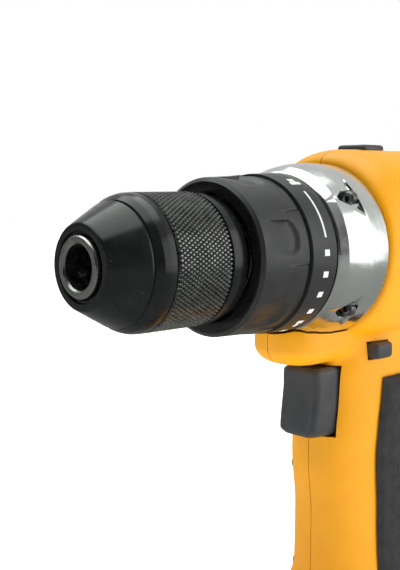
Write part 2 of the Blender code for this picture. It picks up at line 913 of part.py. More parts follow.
def build_housing():
    added, cut = housing_tools()
    bosses = added[3:]
    added = added[:3]

    slots = [
        block("trigger_slot", (90.0, 126.0), (-10.35, 10.35), (-69.0, -42.5), CUTTERS),
        block("direction_slot", (118.6, 129.4), (-30.0, 30.0), (-40.9, -34.1), CUTTERS),
        block("selector_recess", (124.0, 149.0), (-7.4, 7.4), (34.2, 45.0), CUTTERS),
        block("lead_way", (145.0, 156.5), (-8.0, 8.0), (-156.0, -139.5), CUTTERS),
        block("rail_neck", (60.0, 177.0), (-18.1, 18.1), (-170.0, -158.0), CUTTERS),
        block("rail_flange", (60.0, 177.0), (-22.1, 22.1), (-160.4, -153.6), CUTTERS),
    ]
    slots.append(rod("lens_pocket", at(70.0, 0.0, -150.2), at(83.6, 0.0, -150.2), 2.75, 12, CUTTERS))
    for angle in GEARCASE_SCREW_ANGLES:
        u, w = polar(GEARCASE_SCREW_R, angle)
        slots.append(rod(f"case_screw_way_{int(angle)}", at(105.2, u, w), at(110.6, u, w), 1.75, 8, CUTTERS))
    holes = []
    for number, (s, w, reach) in enumerate(HOUSING_SCREWS, start=1):
        holes.append(rod(f"head_way_{number}", at(s, -45.0, w), at(s, -reach, w), 3.2, 8, CUTTERS))
        holes.append(rod(f"shank_way_{number}", at(s, -reach - 1.0, w), at(s, reach - 3.0, w), 1.6, 6, CUTTERS))

    for item in added + cut + bosses + slots + holes:
        as_cutter(item)

    for name, side in (("housing_left", 1.0), ("housing_right", -1.0)):
        rings = [upright_ring(s, t, h, b, barrel_exponent(s), 28) for s, t, h, b in BARREL]
        half = loft(name, rings, PARTS, at(140.0))
        for item in added:
            boolean(half, item, "UNION")
        for item in cut:
            boolean(half, item)
        for item in bosses:
            boolean(half, item, "UNION")
        for item in slots + holes:
            boolean(half, item)
        keep = block(f"{name}_side", (60.0, 220.0), (side * 0.15, side * 60.0), (-175.0, 45.0), CUTTERS)
        boolean(half, as_cutter(keep), "INTERSECT")
        finish(half, "plastic_yellow")

    cap_rings = [upright_ring(s, t, h, b, 2.35, 28) for s, t, h, b in END_CAP]
    cap = loft("end_cap", cap_rings, PARTS, at(206.0))
    space = [upright_ring(s, t, h, b, 2.35, 16, shrink=3.0) for s, t, h, b in ((199.0, 33.3, 29.8, 29.8), *END_CAP[1:4])]
    space[-1] = [point + Vector((1.6 * MM, 0.0, 0.0)) for point in space[-1]]
    boolean(cap, as_cutter(loft("end_cap_space", space, CUTTERS, at(204.0))))
    for side in (-1.0, 1.0):
        for k in range(3):
            w = -10.0 + 10.0 * k
            slot = block(f"end_vent_{int(side)}_{k}", (203.5, 208.0), (side * 18.0, side * 34.0), (w - 1.3, w + 1.3), CUTTERS)
            boolean(cap, as_cutter(slot))
    finish(cap, "plastic_black")

    for number, (s, w, reach) in enumerate(HOUSING_SCREWS, start=1):
        screw = turned(
            f"housing_screw_{number}",
            [(0.0, 0.0), (0.0, 2.5), (0.4, 2.85), (2.4, 2.85), (2.4, 1.3), (17.0, 1.3), (17.0, 0.0)],
            8,
            PARTS,
            closed=False,
        )
        screw.rotation_euler = (math.pi / 2.0, 0.0, 0.0)
        screw.location = at(s, -reach - 2.7, w)
        finish(screw, "steel_grey")

    build_rubber()


def build_rubber():
    """Soft over-mould wrapped round the back of the grip."""
    rings = []
    for w in (-48.0, -57.0, -66.0, -78.0, -100.0, -122.0, -127.0):
        front, rear, half = grip_at(w)
        middle, reach = (front + rear) / 2.0, (rear - front) / 2.0
        ring = []
        for offset, steps in ((GAP + 1.7, range(5, 19)), (GAP + 0.4, range(18, 4, -1))):
            for k in steps:
                x, y = rounded(2.0 * math.pi * (k + 0.5) / 24.0, 2.5)
                ring.append(at(middle - x * (reach + offset), y * (half + offset), w))
        rings.append(ring)
    finish(loft("grip_rubber", rings, PARTS, at(130.0, 0.0, -90.0)), "rubber_black")


# ---------------------------------------------------------------- controls and electrics
def trigger_rings():
    rings = []
    for w, front, lead_half, rear_half in TRIGGER:
        corner = 3.2
        side = [(117.0, rear_half), (106.0, rear_half), (front + corner + 1.5, lead_half + 0.2)]
        for k in range(5):
            a = math.pi / 2.0 * k / 4.0
            side.append((front + corner * (1.0 - math.sin(a)), lead_half - corner + corner * math.cos(a)))
        ring = [at(s, u, w) for s, u in side]
        rings.append(ring + [Vector((p.x, -p.y, p.z)) for p in reversed(ring)])
    return rings


def build_controls():
    trigger = loft("trigger", trigger_rings(), PARTS, at(107.0, 0.0, -55.0))
    finish(trigger, "plastic_charcoal")
    coil("trigger_spring", at(117.4, 0.0, -55.0), at(126.6, 0.0, -55.0), 3.2, 0.5, 4.0, 8, PARTS, "steel_grey", None)
    switch = block("trigger_switch", (127.0, 146.0), (-8.4, 8.4), (-71.0, -43.5), PARTS, bevel=1.0, segments=1)
    finish(switch, "plastic_black")

    button = block("direction_button", (119.0, 129.0), (-19.4, 19.4), (-40.5, -34.5), PARTS, bevel=1.6)
    finish(button, "plastic_charcoal")

    selector = block("speed_selector", (126.0, 138.0), (-6.8, 6.8), (34.5, 38.6), PARTS, bevel=1.2)
    for k in range(3):
        groove = block(f"selector_groove_{k}", (129.0 + 2.6 * k, 130.0 + 2.6 * k), (-9.0, 9.0), (38.0, 40.0), CUTTERS)
        boolean(selector, as_cutter(groove))
    finish(selector, "plastic_charcoal")

    lens = rod("work_light_lens", at(76.4, 0.0, -150.2), at(83.0, 0.0, -150.2), 2.4, 12, PARTS)
    finish(lens, "lens_clear")

    terminals = block("tool_terminal_block", (169.6, 176.6), (-17.0, 17.0), (-160.0, -154.0), PARTS)
    for k in range(4):
        u = -12.0 + 8.0 * k
        blade = block(f"blade_{k}", (158.5, 171.0), (u - 0.45, u + 0.45), (-157.8, -154.6), CUTTERS)
        boolean(terminals, as_cutter(blade), "UNION")
    finish(terminals, "brass")

    for name, colour, side in (("red", "lead_red", 1.0), ("black", "lead_black", -1.0)):
        lead(
            f"lead_battery_{name}",
            [
                (151.0, side * 4.0, -152.8),
                (149.0, side * 5.0, -146.0),
                (141.0, side * 6.0, -132.0),
                (128.0, side * 6.5, -112.0),
                (126.0, side * 6.0, -88.0),
                (133.0, side * 4.5, -71.8),
            ],
            1.2,
            colour,
        )


# ---------------------------------------------------------------- battery
def build_battery(battery):
    s0, s1 = BATTERY_S
    half = BATTERY_HALF_WIDTH
    case = block("battery_case", (s0, s1), (-half, half), (-AXIS_Z, -160.0), PARTS, bevel=5.0, segments=2)
    boolean(case, as_cutter(block("case_top", (s0 - 9.0, s1 + 9.0), (-50.0, 50.0), (-172.0, -150.0), CUTTERS)))
    boolean(case, as_cutter(block("cell_space", (s0 + 2.8, s1 - 2.8), (-35.1, 35.1), (-200.2, -160.0), CUTTERS)))
    boolean(case, as_cutter(block("release_window", (s0 - 5.0, s0 + 8.0), (-13.4, 13.4), (-179.0, -165.0), CUTTERS)))
    finish(case, "plastic_black", battery)

    cover = block("battery_cover", (s0, s1), (-half, half), (-171.7, BATTERY_TOP), PARTS, bevel=2.4, segments=2)
    neck = block("cover_neck", (74.0, 168.4), (-17.6, 17.6), (-167.0, -159.0), CUTTERS)
    flange = block("cover_flange", (74.0, 168.4), (-21.6, 21.6), (-159.9, -154.0), CUTTERS)
    rib = block("cover_rib", (79.2, 81.0), (-4.0, 4.0), (-177.4, -170.0), CUTTERS)
    for item in (neck, flange, rib):
        boolean(cover, as_cutter(item), "UNION")
    for k in range(4):
        u = -12.0 + 8.0 * k
        slot = block(f"blade_way_{k}", (157.0, 170.0), (u - 1.0, u + 1.0), (-158.4, -152.0), CUTTERS)
        boolean(cover, as_cutter(slot))
    finish(cover, "plastic_black", battery)

    button = block("battery_release_button", (66.4, 72.4), (-12.9, 12.9), (-178.6, -172.2), PARTS, bevel=1.2)
    finish(button, "plastic_yellow", battery)

    middle = (s0 + s1) / 2.0
    for number in range(CELL_COUNT):
        s = middle + CELL_PITCH * (number - (CELL_COUNT - 1) / 2.0)
        w = -200.2 + 0.3 + CELL_RADIUS
        cell = rod(f"battery_cell_{number + 1}", at(s, -CELL_LENGTH / 2.0, w), at(s, CELL_LENGTH / 2.0, w),
                   CELL_RADIUS, 14, PARTS)
        finish(cell, "cell_sleeve", battery)


clear_scene()
PARTS = new_collection("cordless_drill")
CUTTERS = new_collection("cutters")
SPINDLE = empty("spindle_axis", at(0.0))
COLLAR = empty("collar_axis", at(67.0))
ROTOR = empty("rotor_axis", at(136.0))
BATTERY = empty("battery_rail", at(125.0, 0.0, -157.0))

build_chuck(SPINDLE)
build_gearbox(SPINDLE)
build_collar(COLLAR)
build_motor(ROTOR)
build_housing()
build_controls()
build_battery(BATTERY)
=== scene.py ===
"""Looks for the cordless drill: detailed pieces, materials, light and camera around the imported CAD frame."""

import json
import math

import bmesh
import bpy
import numpy as np
from mathutils import Matrix, Vector

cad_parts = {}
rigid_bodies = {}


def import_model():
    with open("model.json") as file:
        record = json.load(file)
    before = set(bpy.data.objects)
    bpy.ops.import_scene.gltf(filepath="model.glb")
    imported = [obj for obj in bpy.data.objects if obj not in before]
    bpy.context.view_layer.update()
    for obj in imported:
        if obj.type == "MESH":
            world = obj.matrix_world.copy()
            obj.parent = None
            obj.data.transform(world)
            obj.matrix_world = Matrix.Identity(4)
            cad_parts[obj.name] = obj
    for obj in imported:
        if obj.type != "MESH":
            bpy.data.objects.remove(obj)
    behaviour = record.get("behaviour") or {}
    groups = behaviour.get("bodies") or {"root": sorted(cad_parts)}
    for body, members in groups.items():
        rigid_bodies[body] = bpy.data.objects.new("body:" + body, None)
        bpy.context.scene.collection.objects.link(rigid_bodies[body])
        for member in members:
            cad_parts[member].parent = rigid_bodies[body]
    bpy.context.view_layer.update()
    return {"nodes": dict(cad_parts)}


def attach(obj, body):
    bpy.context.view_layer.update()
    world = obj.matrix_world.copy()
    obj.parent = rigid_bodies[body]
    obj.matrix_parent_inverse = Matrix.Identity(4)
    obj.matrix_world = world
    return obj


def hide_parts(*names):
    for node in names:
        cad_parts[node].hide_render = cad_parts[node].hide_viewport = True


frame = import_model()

# ---------------------------------------------------------------- the CAD's own dimensions (mm)
MM = 0.001
NOSE_X = 125.0
AXIS_Z = 203.0
TAU = 2.0 * math.pi

JAW_TILT = math.radians(20.0)
JAW_ANGLES = (-145.0, -25.0, 95.0)
JAW_RADIUS = 3.0
JAW_AXIS_R0 = 2.49
JAW_TIP_S = 7.5
JAW_END_S = 31.0
JAW_OPEN_R = 6.5

GEARCASE_SCREW_R = 29.6
GEARCASE_SCREW_ANGLES = (40.0, 140.0, 220.0, 320.0)

HOUSING_SCREWS = (
    (122.0, 26.0, 19.0),
    (186.0, -22.0, 17.0),
    (152.0, -41.0, 9.5),
    (112.0, -84.0, 10.8),
    (113.5, -124.0, 11.0),
)

BARREL = (
    (108.2, 32.4, 32.3, 32.3),
    (109.0, 33.5, 32.7, 32.7),
    (110.6, 34.7, 33.2, 33.0),
    (113.2, 35.7, 33.6, 33.3),
    (119.0, 36.7, 34.0, 33.6),
    (136.0, 36.9, 34.0, 33.6),
    (165.0, 36.2, 33.0, 32.8),
    (188.0, 34.6, 31.0, 31.0),
    (200.0, 33.3, 29.8, 29.8),
)
END_CAP = (
    (200.3, 33.3, 29.8, 29.8),
    (206.0, 31.9, 28.6, 28.6),
    (210.5, 29.2, 26.2, 26.2),
    (213.2, 25.4, 22.6, 22.6),
    (214.0, 21.5, 19.0, 19.0),
)
GRIP = (
    (-20.0, 112.0, 168.0, 16.0),
    (-34.0, 108.0, 162.0, 16.6),
    (-46.0, 105.6, 156.5, 17.0),
    (-57.0, 105.0, 153.5, 17.2),
    (-66.0, 103.9, 151.8, 17.2),
    (-78.0, 103.4, 150.4, 17.0),
    (-100.0, 105.5, 151.0, 16.8),
    (-122.0, 105.5, 153.0, 17.4),
    (-134.0, 100.5, 157.5, 20.5),
    (-142.0, 90.0, 164.0, 26.5),
    (-148.0, 80.0, 171.0, 32.0),
)
FOOT = (
    (-147.0, 81.0, 170.0, 31.0),
    (-151.0, 74.5, 176.0, 34.5),
    (-156.0, 70.8, 179.6, 36.3),
    (-164.2, 70.0, 180.5, 36.8),
    (-165.1, 70.6, 179.9, 36.2),
)
CHIN = (
    (-26.0, 80.9, 13.0),
    (-29.5, 80.5, 13.4),
    (-34.6, 80.6, 13.6),
    (-37.0, 81.6, 12.9),
    (-38.9, 83.6, 11.2),
    (-40.5, 88.0, 8.4),
    (-41.3, 93.0, 5.0),
)
TRIGGER = (
    (-42.9, 98.4, 7.4, 8.2),
    (-44.4, 97.0, 8.6, 9.2),
    (-50.0, 97.3, 9.0, 9.5),
    (-56.5, 96.7, 9.1, 9.6),
    (-62.0, 95.9, 9.0, 9.5),
    (-66.4, 95.3, 8.6, 9.2),
    (-68.2, 96.5, 7.2, 8.2),
)


def at(s, u=0.0, w=0.0):
    return Vector(((NOSE_X - s) * MM, u * MM, (AXIS_Z + w) * MM))


def polar(radius, degrees):
    a = math.radians(degrees)
    return radius * math.cos(a), radius * math.sin(a)


# ---------------------------------------------------------------- materials
def node(tree, kind, inputs=None, **settings):
    made = tree.nodes.new("ShaderNode" + kind)
    for key, value in settings.items():
        setattr(made, key, value)
    for key, value in (inputs or {}).items():
        if isinstance(value, bpy.types.NodeSocket):
            tree.links.new(value, made.inputs[key])
        else:
            made.inputs[key].default_value = value
    return made


def maths(tree, operation, a, b=0.0):
    return node(tree, "Math", {0: a, 1: b}, operation=operation).outputs[0]


def ranged(tree, value, low, high, to_low, to_high):
    inputs = {"Value": value, "From Min": low, "From Max": high, "To Min": to_low, "To Max": to_high}
    return node(tree, "MapRange", inputs).outputs[0]


def noise(tree, vector, size_mm, detail=3.0, roughness=0.55):
    inputs = {"Vector": vector, "Scale": 1000.0 / size_mm, "Detail": detail, "Roughness": roughness}
    return node(tree, "TexNoise", inputs).outputs[0]


def axis_space(tree, place, around):
    """Coordinates that run along and out from the spindle axis, and hardly change around it."""
    parts = node(tree, "SeparateXYZ", {0: place})
    height = maths(tree, "SUBTRACT", parts.outputs[2], AXIS_Z * MM)
    across = maths(tree, "MULTIPLY", parts.outputs[1], parts.outputs[1])
    upward = maths(tree, "MULTIPLY", height, height)
    radius = maths(tree, "SQRT", maths(tree, "ADD", across, upward))
    turn = maths(tree, "MULTIPLY", parts.outputs[1], around)
    return node(tree, "CombineXYZ", {0: parts.outputs[0], 1: radius, 2: turn}).outputs[0]


def material(
    name,
    colour,
    other,
    rough,
    spread=0.06,
    metallic=0.0,
    specular=0.5,
    coat=0.0,
    blotch=9.0,
    grain=0.0,
    grain_depth=0.0,
    lathe=0.0,
    lathe_depth=0.0,
    scratch=0.0,
    wave=0.0,
    transmission=0.0,
    dust=0.0,
):
    """Principled material whose colour, roughness and relief vary at real scales, sizes in millimetres."""
    made = bpy.data.materials.new(name)
    made.use_nodes = True
    tree = made.node_tree
    shader = tree.nodes["Principled BSDF"]
    shader.inputs["Metallic"].default_value = metallic
    shader.inputs["Specular IOR Level"].default_value = specular
    shader.inputs["Coat Weight"].default_value = coat
    shader.inputs["Coat Roughness"].default_value = 0.08
    shader.inputs["Transmission Weight"].default_value = transmission
    place = node(tree, "TexCoord").outputs["Object"]
    patches = noise(tree, place, blotch, 4.0)
    mix = node(tree, "Mix", {0: ranged(tree, patches, 0.35, 0.65, 0.0, 1.0)}, data_type="RGBA")
    mix.inputs[6].default_value = (*colour, 1.0)
    mix.inputs[7].default_value = (*other, 1.0)
    tint = mix.outputs[2]
    smear = noise(tree, place, blotch * 0.45, 5.0, 0.65)
    gloss = ranged(tree, smear, 0.3, 0.7, max(rough - spread, 0.02), rough + spread)
    normal = None

    def relief(height, depth, before):
        inputs = {"Height": height, "Distance": depth * MM, "Strength": 1.0}
        if before is not None:
            inputs["Normal"] = before
        return node(tree, "Bump", inputs).outputs[0]

    if wave:
        normal = relief(noise(tree, place, 14.0, 1.0), wave, normal)
    if grain:
        normal = relief(noise(tree, place, grain, 2.0, 0.5), grain_depth, normal)
    if lathe:
        rings = axis_space(tree, place, 0.012)
        turning = noise(tree, rings, lathe, 3.0, 0.7)
        normal = relief(turning, lathe_depth, normal)
        gloss = maths(tree, "ADD", gloss, ranged(tree, turning, 0.3, 0.7, -0.4 * spread, 0.4 * spread))
    if scratch:
        slant = {0: place, "Rotation": (0.4, 0.9, 0.3), "Scale": (0.05, 1.0, 1.6)}
        stretch = node(tree, "Mapping", slant).outputs[0]
        thin = noise(tree, stretch, 0.55, 2.0, 0.8)
        lines = ranged(tree, thin, 0.66, 0.72, 0.0, 1.0)
        gloss = maths(tree, "ADD", gloss, maths(tree, "MULTIPLY", lines, scratch))
        normal = relief(lines, -0.004 * (1.0 + scratch), normal)
    if dust:
        specks = node(tree, "TexVoronoi", {"Vector": place, "Scale": 1000.0 / 2.6, "Randomness": 1.0})
        spot = ranged(tree, specks.outputs[0], 0.05, 0.09, dust, 0.0)
        flecked = node(tree, "Mix", {0: spot, 6: tint}, data_type="RGBA")
        flecked.inputs[7].default_value = (0.5, 0.5, 0.48, 1.0)
        tint = flecked.outputs[2]
    tree.links.new(tint, shader.inputs["Base Color"])
    tree.links.new(gloss, shader.inputs["Roughness"])
    if normal is not None:
        tree.links.new(normal, shader.inputs["Normal"])
    return made


MATERIALS = {
    "sleeve": material(
        "black_oxide_sleeve", (0.006, 0.007, 0.007), (0.010, 0.011, 0.011), 0.20, 0.05, specular=0.32,
        lathe=0.22, lathe_depth=0.003, scratch=0.12, blotch=7.0, dust=0.10,
    ),
    "knurl": material(
        "black_oxide_knurl", (0.15, 0.155, 0.15), (0.24, 0.245, 0.235), 0.24, 0.07, metallic=0.85,
        grain=0.25, grain_depth=0.008, blotch=3.0,
    ),
    "nose_steel": material(
        "ground_steel_nose", (0.30, 0.30, 0.29), (0.38, 0.38, 0.37), 0.28, 0.08, metallic=1.0,
        lathe=0.18, lathe_depth=0.006, scratch=0.15, blotch=5.0,
    ),
    "jaw_steel": material(
        "hardened_jaw_steel", (0.42, 0.42, 0.41), (0.55, 0.55, 0.53), 0.24, 0.08, metallic=1.0,
        grain=0.4, grain_depth=0.004, blotch=3.0,
    ),
    "steel": material(
        "machined_steel", (0.34, 0.35, 0.36), (0.46, 0.47, 0.48), 0.34, 0.08, metallic=1.0,
        lathe=0.3, lathe_depth=0.006, blotch=6.0,
    ),
    "screw_steel": material(
        "plated_screw_steel", (0.10, 0.10, 0.105), (0.2, 0.2, 0.2), 0.34, 0.1, metallic=1.0,
        grain=0.5, grain_depth=0.01, blotch=2.0,
    ),
    "alloy": material(
        "polished_gear_case", (0.68, 0.71, 0.68), (0.76, 0.78, 0.76), 0.15, 0.05, metallic=1.0,
        grain=0.9, grain_depth=0.004, wave=0.4, scratch=0.08, blotch=11.0,
    ),
    "collar": material(
        "collar_plastic", (0.018, 0.019, 0.019), (0.025, 0.026, 0.026), 0.40, 0.05, specular=0.45,
        grain=0.32, grain_depth=0.008, blotch=8.0, dust=0.08,
    ),
    # the collar's front face: a glossier finish than the grip, and a darker colour that is painted shade of
    # the recessed face
    "collar_face": material(
        "collar_face_gloss_painted_shade", (0.005, 0.005, 0.005), (0.008, 0.008, 0.008), 0.22, 0.05, specular=0.4,
        grain=0.4, grain_depth=0.003, blotch=6.0,
    ),
    "mark": material(
        "mark_paint", (0.86, 0.87, 0.85), (0.74, 0.75, 0.73), 0.5, 0.06,
        grain=0.3, grain_depth=0.01, blotch=1.6,
    ),
    "yellow": material(
        "yellow_housing", (0.95, 0.40, 0.006), (0.92, 0.375, 0.004), 0.42, 0.05, specular=0.3,
        grain=0.45, grain_depth=0.006, blotch=16.0, dust=0.05,
    ),
    "trigger": material(
        "trigger_plastic", (0.040, 0.043, 0.050), (0.052, 0.055, 0.062), 0.46, 0.05,
        grain=0.4, grain_depth=0.008, blotch=7.0,
    ),
    "black": material(
        "black_plastic", (0.018, 0.018, 0.019), (0.027, 0.027, 0.028), 0.5, 0.06,
        grain=0.5, grain_depth=0.02, blotch=8.0, dust=0.06,
    ),
    "rubber": material(
        "grip_rubber_finish", (0.022, 0.022, 0.024), (0.034, 0.034, 0.035), 0.72, 0.08, specular=0.35,
        grain=0.7, grain_depth=0.05, blotch=6.0,
    ),
    "magnet": material("magnet_finish", (0.10, 0.10, 0.11), (0.15, 0.15, 0.15), 0.6, 0.1, metallic=0.3,
                       grain=0.6, grain_depth=0.03),
    "copper": material("copper_winding", (0.70, 0.30, 0.16), (0.55, 0.22, 0.11), 0.34, 0.08, metallic=1.0,
                       lathe=0.9, lathe_depth=0.12),
    "brass": material("brass_blades", (0.74, 0.55, 0.24), (0.62, 0.46, 0.2), 0.3, 0.08, metallic=1.0,
                      grain=0.5, grain_depth=0.01),
    "cell": material("cell_sleeve_film", (0.06, 0.24, 0.33), (0.08, 0.29, 0.38), 0.32, 0.05, coat=0.3,
                     grain=1.5, grain_depth=0.02),
    "lens": material("lens_plastic", (0.88, 0.90, 0.92), (0.80, 0.84, 0.88), 0.1, 0.04, transmission=0.55,
                     grain=1.0, grain_depth=0.03),
    "red": material("red_insulation", (0.50, 0.02, 0.02), (0.42, 0.015, 0.015), 0.46, 0.06,
                    grain=0.8, grain_depth=0.02),
    "dark": material("black_insulation", (0.02, 0.02, 0.02), (0.03, 0.03, 0.03), 0.46, 0.06,
                     grain=0.8, grain_depth=0.02),
}


# ---------------------------------------------------------------- mesh helpers
def shaded(mesh, angle):
    mesh.polygons.foreach_set("use_smooth", [True] * len(mesh.polygons))
    mesh.set_sharp_from_angle(angle=math.radians(angle))


def solid(name, verts, faces, finish, angle=32.0):
    """Object from world points and faces, with its normals made to point outwards."""
    mesh = bpy.data.meshes.new(name)
    mesh.from_pydata([tuple(v) for v in verts], [], [tuple(f) for f in faces])
    bm = bmesh.new()
    bm.from_mesh(mesh)
    bmesh.ops.recalc_face_normals(bm, faces=bm.faces)
    bm.to_mesh(mesh)
    bm.free()
    shaded(mesh, angle)
    obj = bpy.data.objects.new(name, mesh)
    bpy.context.scene.collection.objects.link(obj)
    if finish:
        mesh.materials.append(MATERIALS[finish])
    return obj


def filleted(points, segments=4):
    """Closed outline of (s, r, fillet) with its corners rounded."""
    out = []
    for i, (s, r, size) in enumerate(points):
        here = np.array((s, r), float)
        if size <= 0.0:
            out.append(here)
            continue
        before = np.array(points[i - 1][:2], float) - here
        after = np.array(points[(i + 1) % len(points)][:2], float) - here
        lengths = np.linalg.norm(before), np.linalg.norm(after)
        before, after = before / lengths[0], after / lengths[1]
        half = math.acos(max(-1.0, min(1.0, float(before @ after)))) / 2.0
        reach = min(size / math.tan(half), 0.46 * lengths[0], 0.46 * lengths[1])
        start, end = here + before * reach, here + after * reach
        for k in range(segments + 1):
            t = k / segments
            out.append((1 - t) ** 2 * start + 2 * t * (1 - t) * here + t * t * end)
    return np.array(out)


def divided(points, step, until):
    """The same closed outline with its long outer stretches cut into short ones."""
    out = []
    for i, here in enumerate(points):
        after = points[(i + 1) % len(points)]
        out.append(here)
        length = float(np.linalg.norm(after - here))
        if i < until and length > step:
            count = int(math.ceil(length / step))
            out.extend(here + (after - here) * k / count for k in range(1, count))
    return np.array(out)


def revolved(name, outline, steps, finish, relief=None, angle=32.0):
    """Ring about the spindle axis from a closed (s, r) outline, with an optional relief of its radius."""
    turn = np.arange(steps) * TAU / steps
    s = np.repeat(outline[None, :, 0], steps, 0)
    r = np.repeat(outline[None, :, 1], steps, 0)
    a = np.repeat(turn[:, None], len(outline), 1)
    if relief is not None:
        r = relief(s, r, np.degrees(a))
    xyz = np.stack(((NOSE_X - s), r * np.cos(a), AXIS_Z + r * np.sin(a)), -1) * MM
    count = len(outline)
    i, j = np.meshgrid(np.arange(steps), np.arange(count), indexing="ij")
    i2, j2 = (i + 1) % steps, (j + 1) % count
    faces = np.stack((i * count + j, i * count + j2, i2 * count + j2, i2 * count + j), -1)
    return solid(name, xyz.reshape(-1, 3), faces.reshape(-1, 4).tolist(), finish, angle)


def spun(name, profile, steps, finish, centre=(0.0, 0.0), angle=32.0):
    """Solid of revolution closed at the axis, from (s, r, fillet) points between its two ends."""
    padded = [(profile[0][0], 0.0, 0.0), *profile, (profile[-1][0], 0.0, 0.0)]
    outline = filleted(padded)
    verts, faces = [], []
    inner = [p for p in outline if p[1] > 1e-6]
    for s, r in inner:
        for k in range(steps):
            a = TAU * k / steps
            verts.append(at(s, centre[0] + r * math.cos(a), centre[1] + r * math.sin(a)))
    for level in range(len(inner) - 1):
        for k in range(steps):
            k2 = (k + 1) % steps
            low, high = level * steps, (level + 1) * steps
            faces.append((low + k, low + k2, high + k2, high + k))
    for level, s in ((0, profile[0][0]), (len(inner) - 1, profile[-1][0])):
        verts.append(at(s, *centre))
        tip = len(verts) - 1
        for k in range(steps):
            faces.append((tip, level * steps + k, level * steps + (k + 1) % steps))
    return solid(name, verts, faces, finish, angle)


def lofted(name, rings, finish, angle=32.0):
    """Closed solid through rings of equal counts."""
    count = len(rings[0])
    verts = [p for ring in rings for p in ring]
    faces = []
    for level in range(len(rings) - 1):
        for k in range(count):
            k2 = (k + 1) % count
            low, high = level * count, (level + 1) * count
            faces.append((low + k, low + k2, high + k2, high + k))
    faces.append(list(range(count))[::-1])
    faces.append([(len(rings) - 1) * count + k for k in range(count)])
    return solid(name, verts, faces, finish, angle)


def rod(name, start, end, radius, steps):
    axis = end - start
    turn = axis.to_track_quat("Z", "Y").to_matrix()
    rings = []
    for base in (start, end):
        ring = []
        for k in range(steps):
            a = TAU * k / steps
            ring.append(base + turn @ Vector((radius * MM * math.cos(a), radius * MM * math.sin(a), 0.0)))
        rings.append(ring)
    return lofted(name, rings, None)


def block(name, s, u, w, finish=None, bevel=0.0, segments=4):
    low, high = at(max(s), min(u), min(w)), at(min(s), max(u), max(w))
    corners = [(x, y, z) for x in (low.x, high.x) for y in (low.y, high.y) for z in (low.z, high.z)]
    faces = [(0, 1, 3, 2), (4, 6, 7, 5), (0, 4, 5, 1), (2, 3, 7, 6), (0, 2, 6, 4), (1, 5, 7, 3)]
    obj = solid(name, corners, faces, finish)
    if bevel:
        edge = obj.modifiers.new("round", "BEVEL")
        edge.width, edge.segments, edge.limit_method = bevel * MM, segments, "ANGLE"
    return obj


def applied(obj, angle=32.0):
    """The object with its modifiers turned into mesh."""
    graph = bpy.context.evaluated_depsgraph_get()
    graph.update()
    mesh = bpy.data.meshes.new_from_object(obj.evaluated_get(graph))
    obj.modifiers.clear()
    obj.data = mesh
    shaded(mesh, angle)
    return obj


def cut(obj, cutters, operation="DIFFERENCE", angle=32.0):
    """All cutters in one exact boolean, which are then removed."""
    group = bpy.data.collections.new(obj.name + "_cutters")
    bpy.context.scene.collection.children.link(group)
    for cutter in cutters:
        bpy.context.scene.collection.objects.unlink(cutter)
        group.objects.link(cutter)
    tool = obj.modifiers.new("cut", "BOOLEAN")
    tool.operation, tool.solver, tool.operand_type, tool.collection = operation, "EXACT", "COLLECTION", group
    applied(obj, angle)
    for cutter in list(group.objects):
        bpy.data.objects.remove(cutter, do_unlink=True)
    bpy.data.collections.remove(group)
    return obj


def refined(node_name, name, finish, width, segments=3, angle=32.0):
    """A CAD node's own shape with its edges rounded and shaded finely."""
    mesh = frame["nodes"][node_name].data.copy()
    bm = bmesh.new()
    bm.from_mesh(mesh)
    bmesh.ops.remove_doubles(bm, verts=bm.verts, dist=2e-6)
    bmesh.ops.dissolve_limit(bm, angle_limit=math.radians(1.5), verts=bm.verts, edges=bm.edges)
    bm.to_mesh(mesh)
    bm.free()
    obj = bpy.data.objects.new(name, mesh)
    bpy.context.scene.collection.objects.link(obj)
    mesh.materials.clear()
    mesh.materials.append(MATERIALS[finish])
    edge = obj.modifiers.new("round", "BEVEL")
    edge.width, edge.segments, edge.limit_method = width * MM, segments, "ANGLE"
    edge.angle_limit = math.radians(28.0)
    edge.harden_normals = False
    return applied(obj, angle)


def smooth_table(table, places):
    """Rows of a station table read at any places, by monotone cubic curves."""
    data = np.array(table, float)
    x, y = data[:, 0], data[:, 1:]
    if x[0] > x[-1]:
        x, y = x[::-1], y[::-1]
    h = np.diff(x)[:, None]
    slope = np.diff(y, axis=0) / h
    tangent = np.zeros_like(y)
    both = slope[:-1] * slope[1:] > 0
    weight = (2 * h[1:] + h[:-1], h[1:] + 2 * h[:-1])
    with np.errstate(divide="ignore", invalid="ignore"):
        mean = (weight[0] + weight[1]) / (weight[0] / slope[:-1] + weight[1] / slope[1:])
    tangent[1:-1] = np.where(both, mean, 0.0)
    tangent[0], tangent[-1] = slope[0], slope[-1]
    out = []
    for p in places:
        i = int(min(max(np.searchsorted(x, p) - 1, 0), len(x) - 2))
        t = (p - x[i]) / (x[i + 1] - x[i])
        a = (1 + 2 * t) * (1 - t) ** 2 * y[i] + t * (1 - t) ** 2 * h[i] * tangent[i]
        b = t * t * (3 - 2 * t) * y[i + 1] + t * t * (t - 1) * h[i] * tangent[i + 1]
        out.append(a + b)
    return out


def rounded(angle, exponent):
    c, s = math.cos(angle), math.sin(angle)
    return math.copysign(abs(c) ** (2.0 / exponent), c), math.copysign(abs(s) ** (2.0 / exponent), s)


def upright_ring(s, top, half_width, bottom, exponent, count, shrink=0.0):
    ring = []
    for i in range(count):
        x, y = rounded(TAU * (i + 0.5) / count, exponent)
        ring.append(at(s, x * (half_width - shrink), y * ((top if y > 0 else bottom) - shrink)))
    return ring


def level_ring(w, front, rear, half_width, exponent, count, shrink=0.0):
    middle, half = (front + rear) / 2.0, (rear - front) / 2.0 - shrink
    ring = []
    for i in range(count):
        x, y = rounded(TAU * (i + 0.5) / count, exponent)
        ring.append(at(middle - x * half, y * (half_width - shrink), w))
    return ring


def steps_between(a, b, step):
    count = max(int(round(abs(b - a) / step)), 1)
    return [a + (b - a) * k / count for k in range(count + 1)]


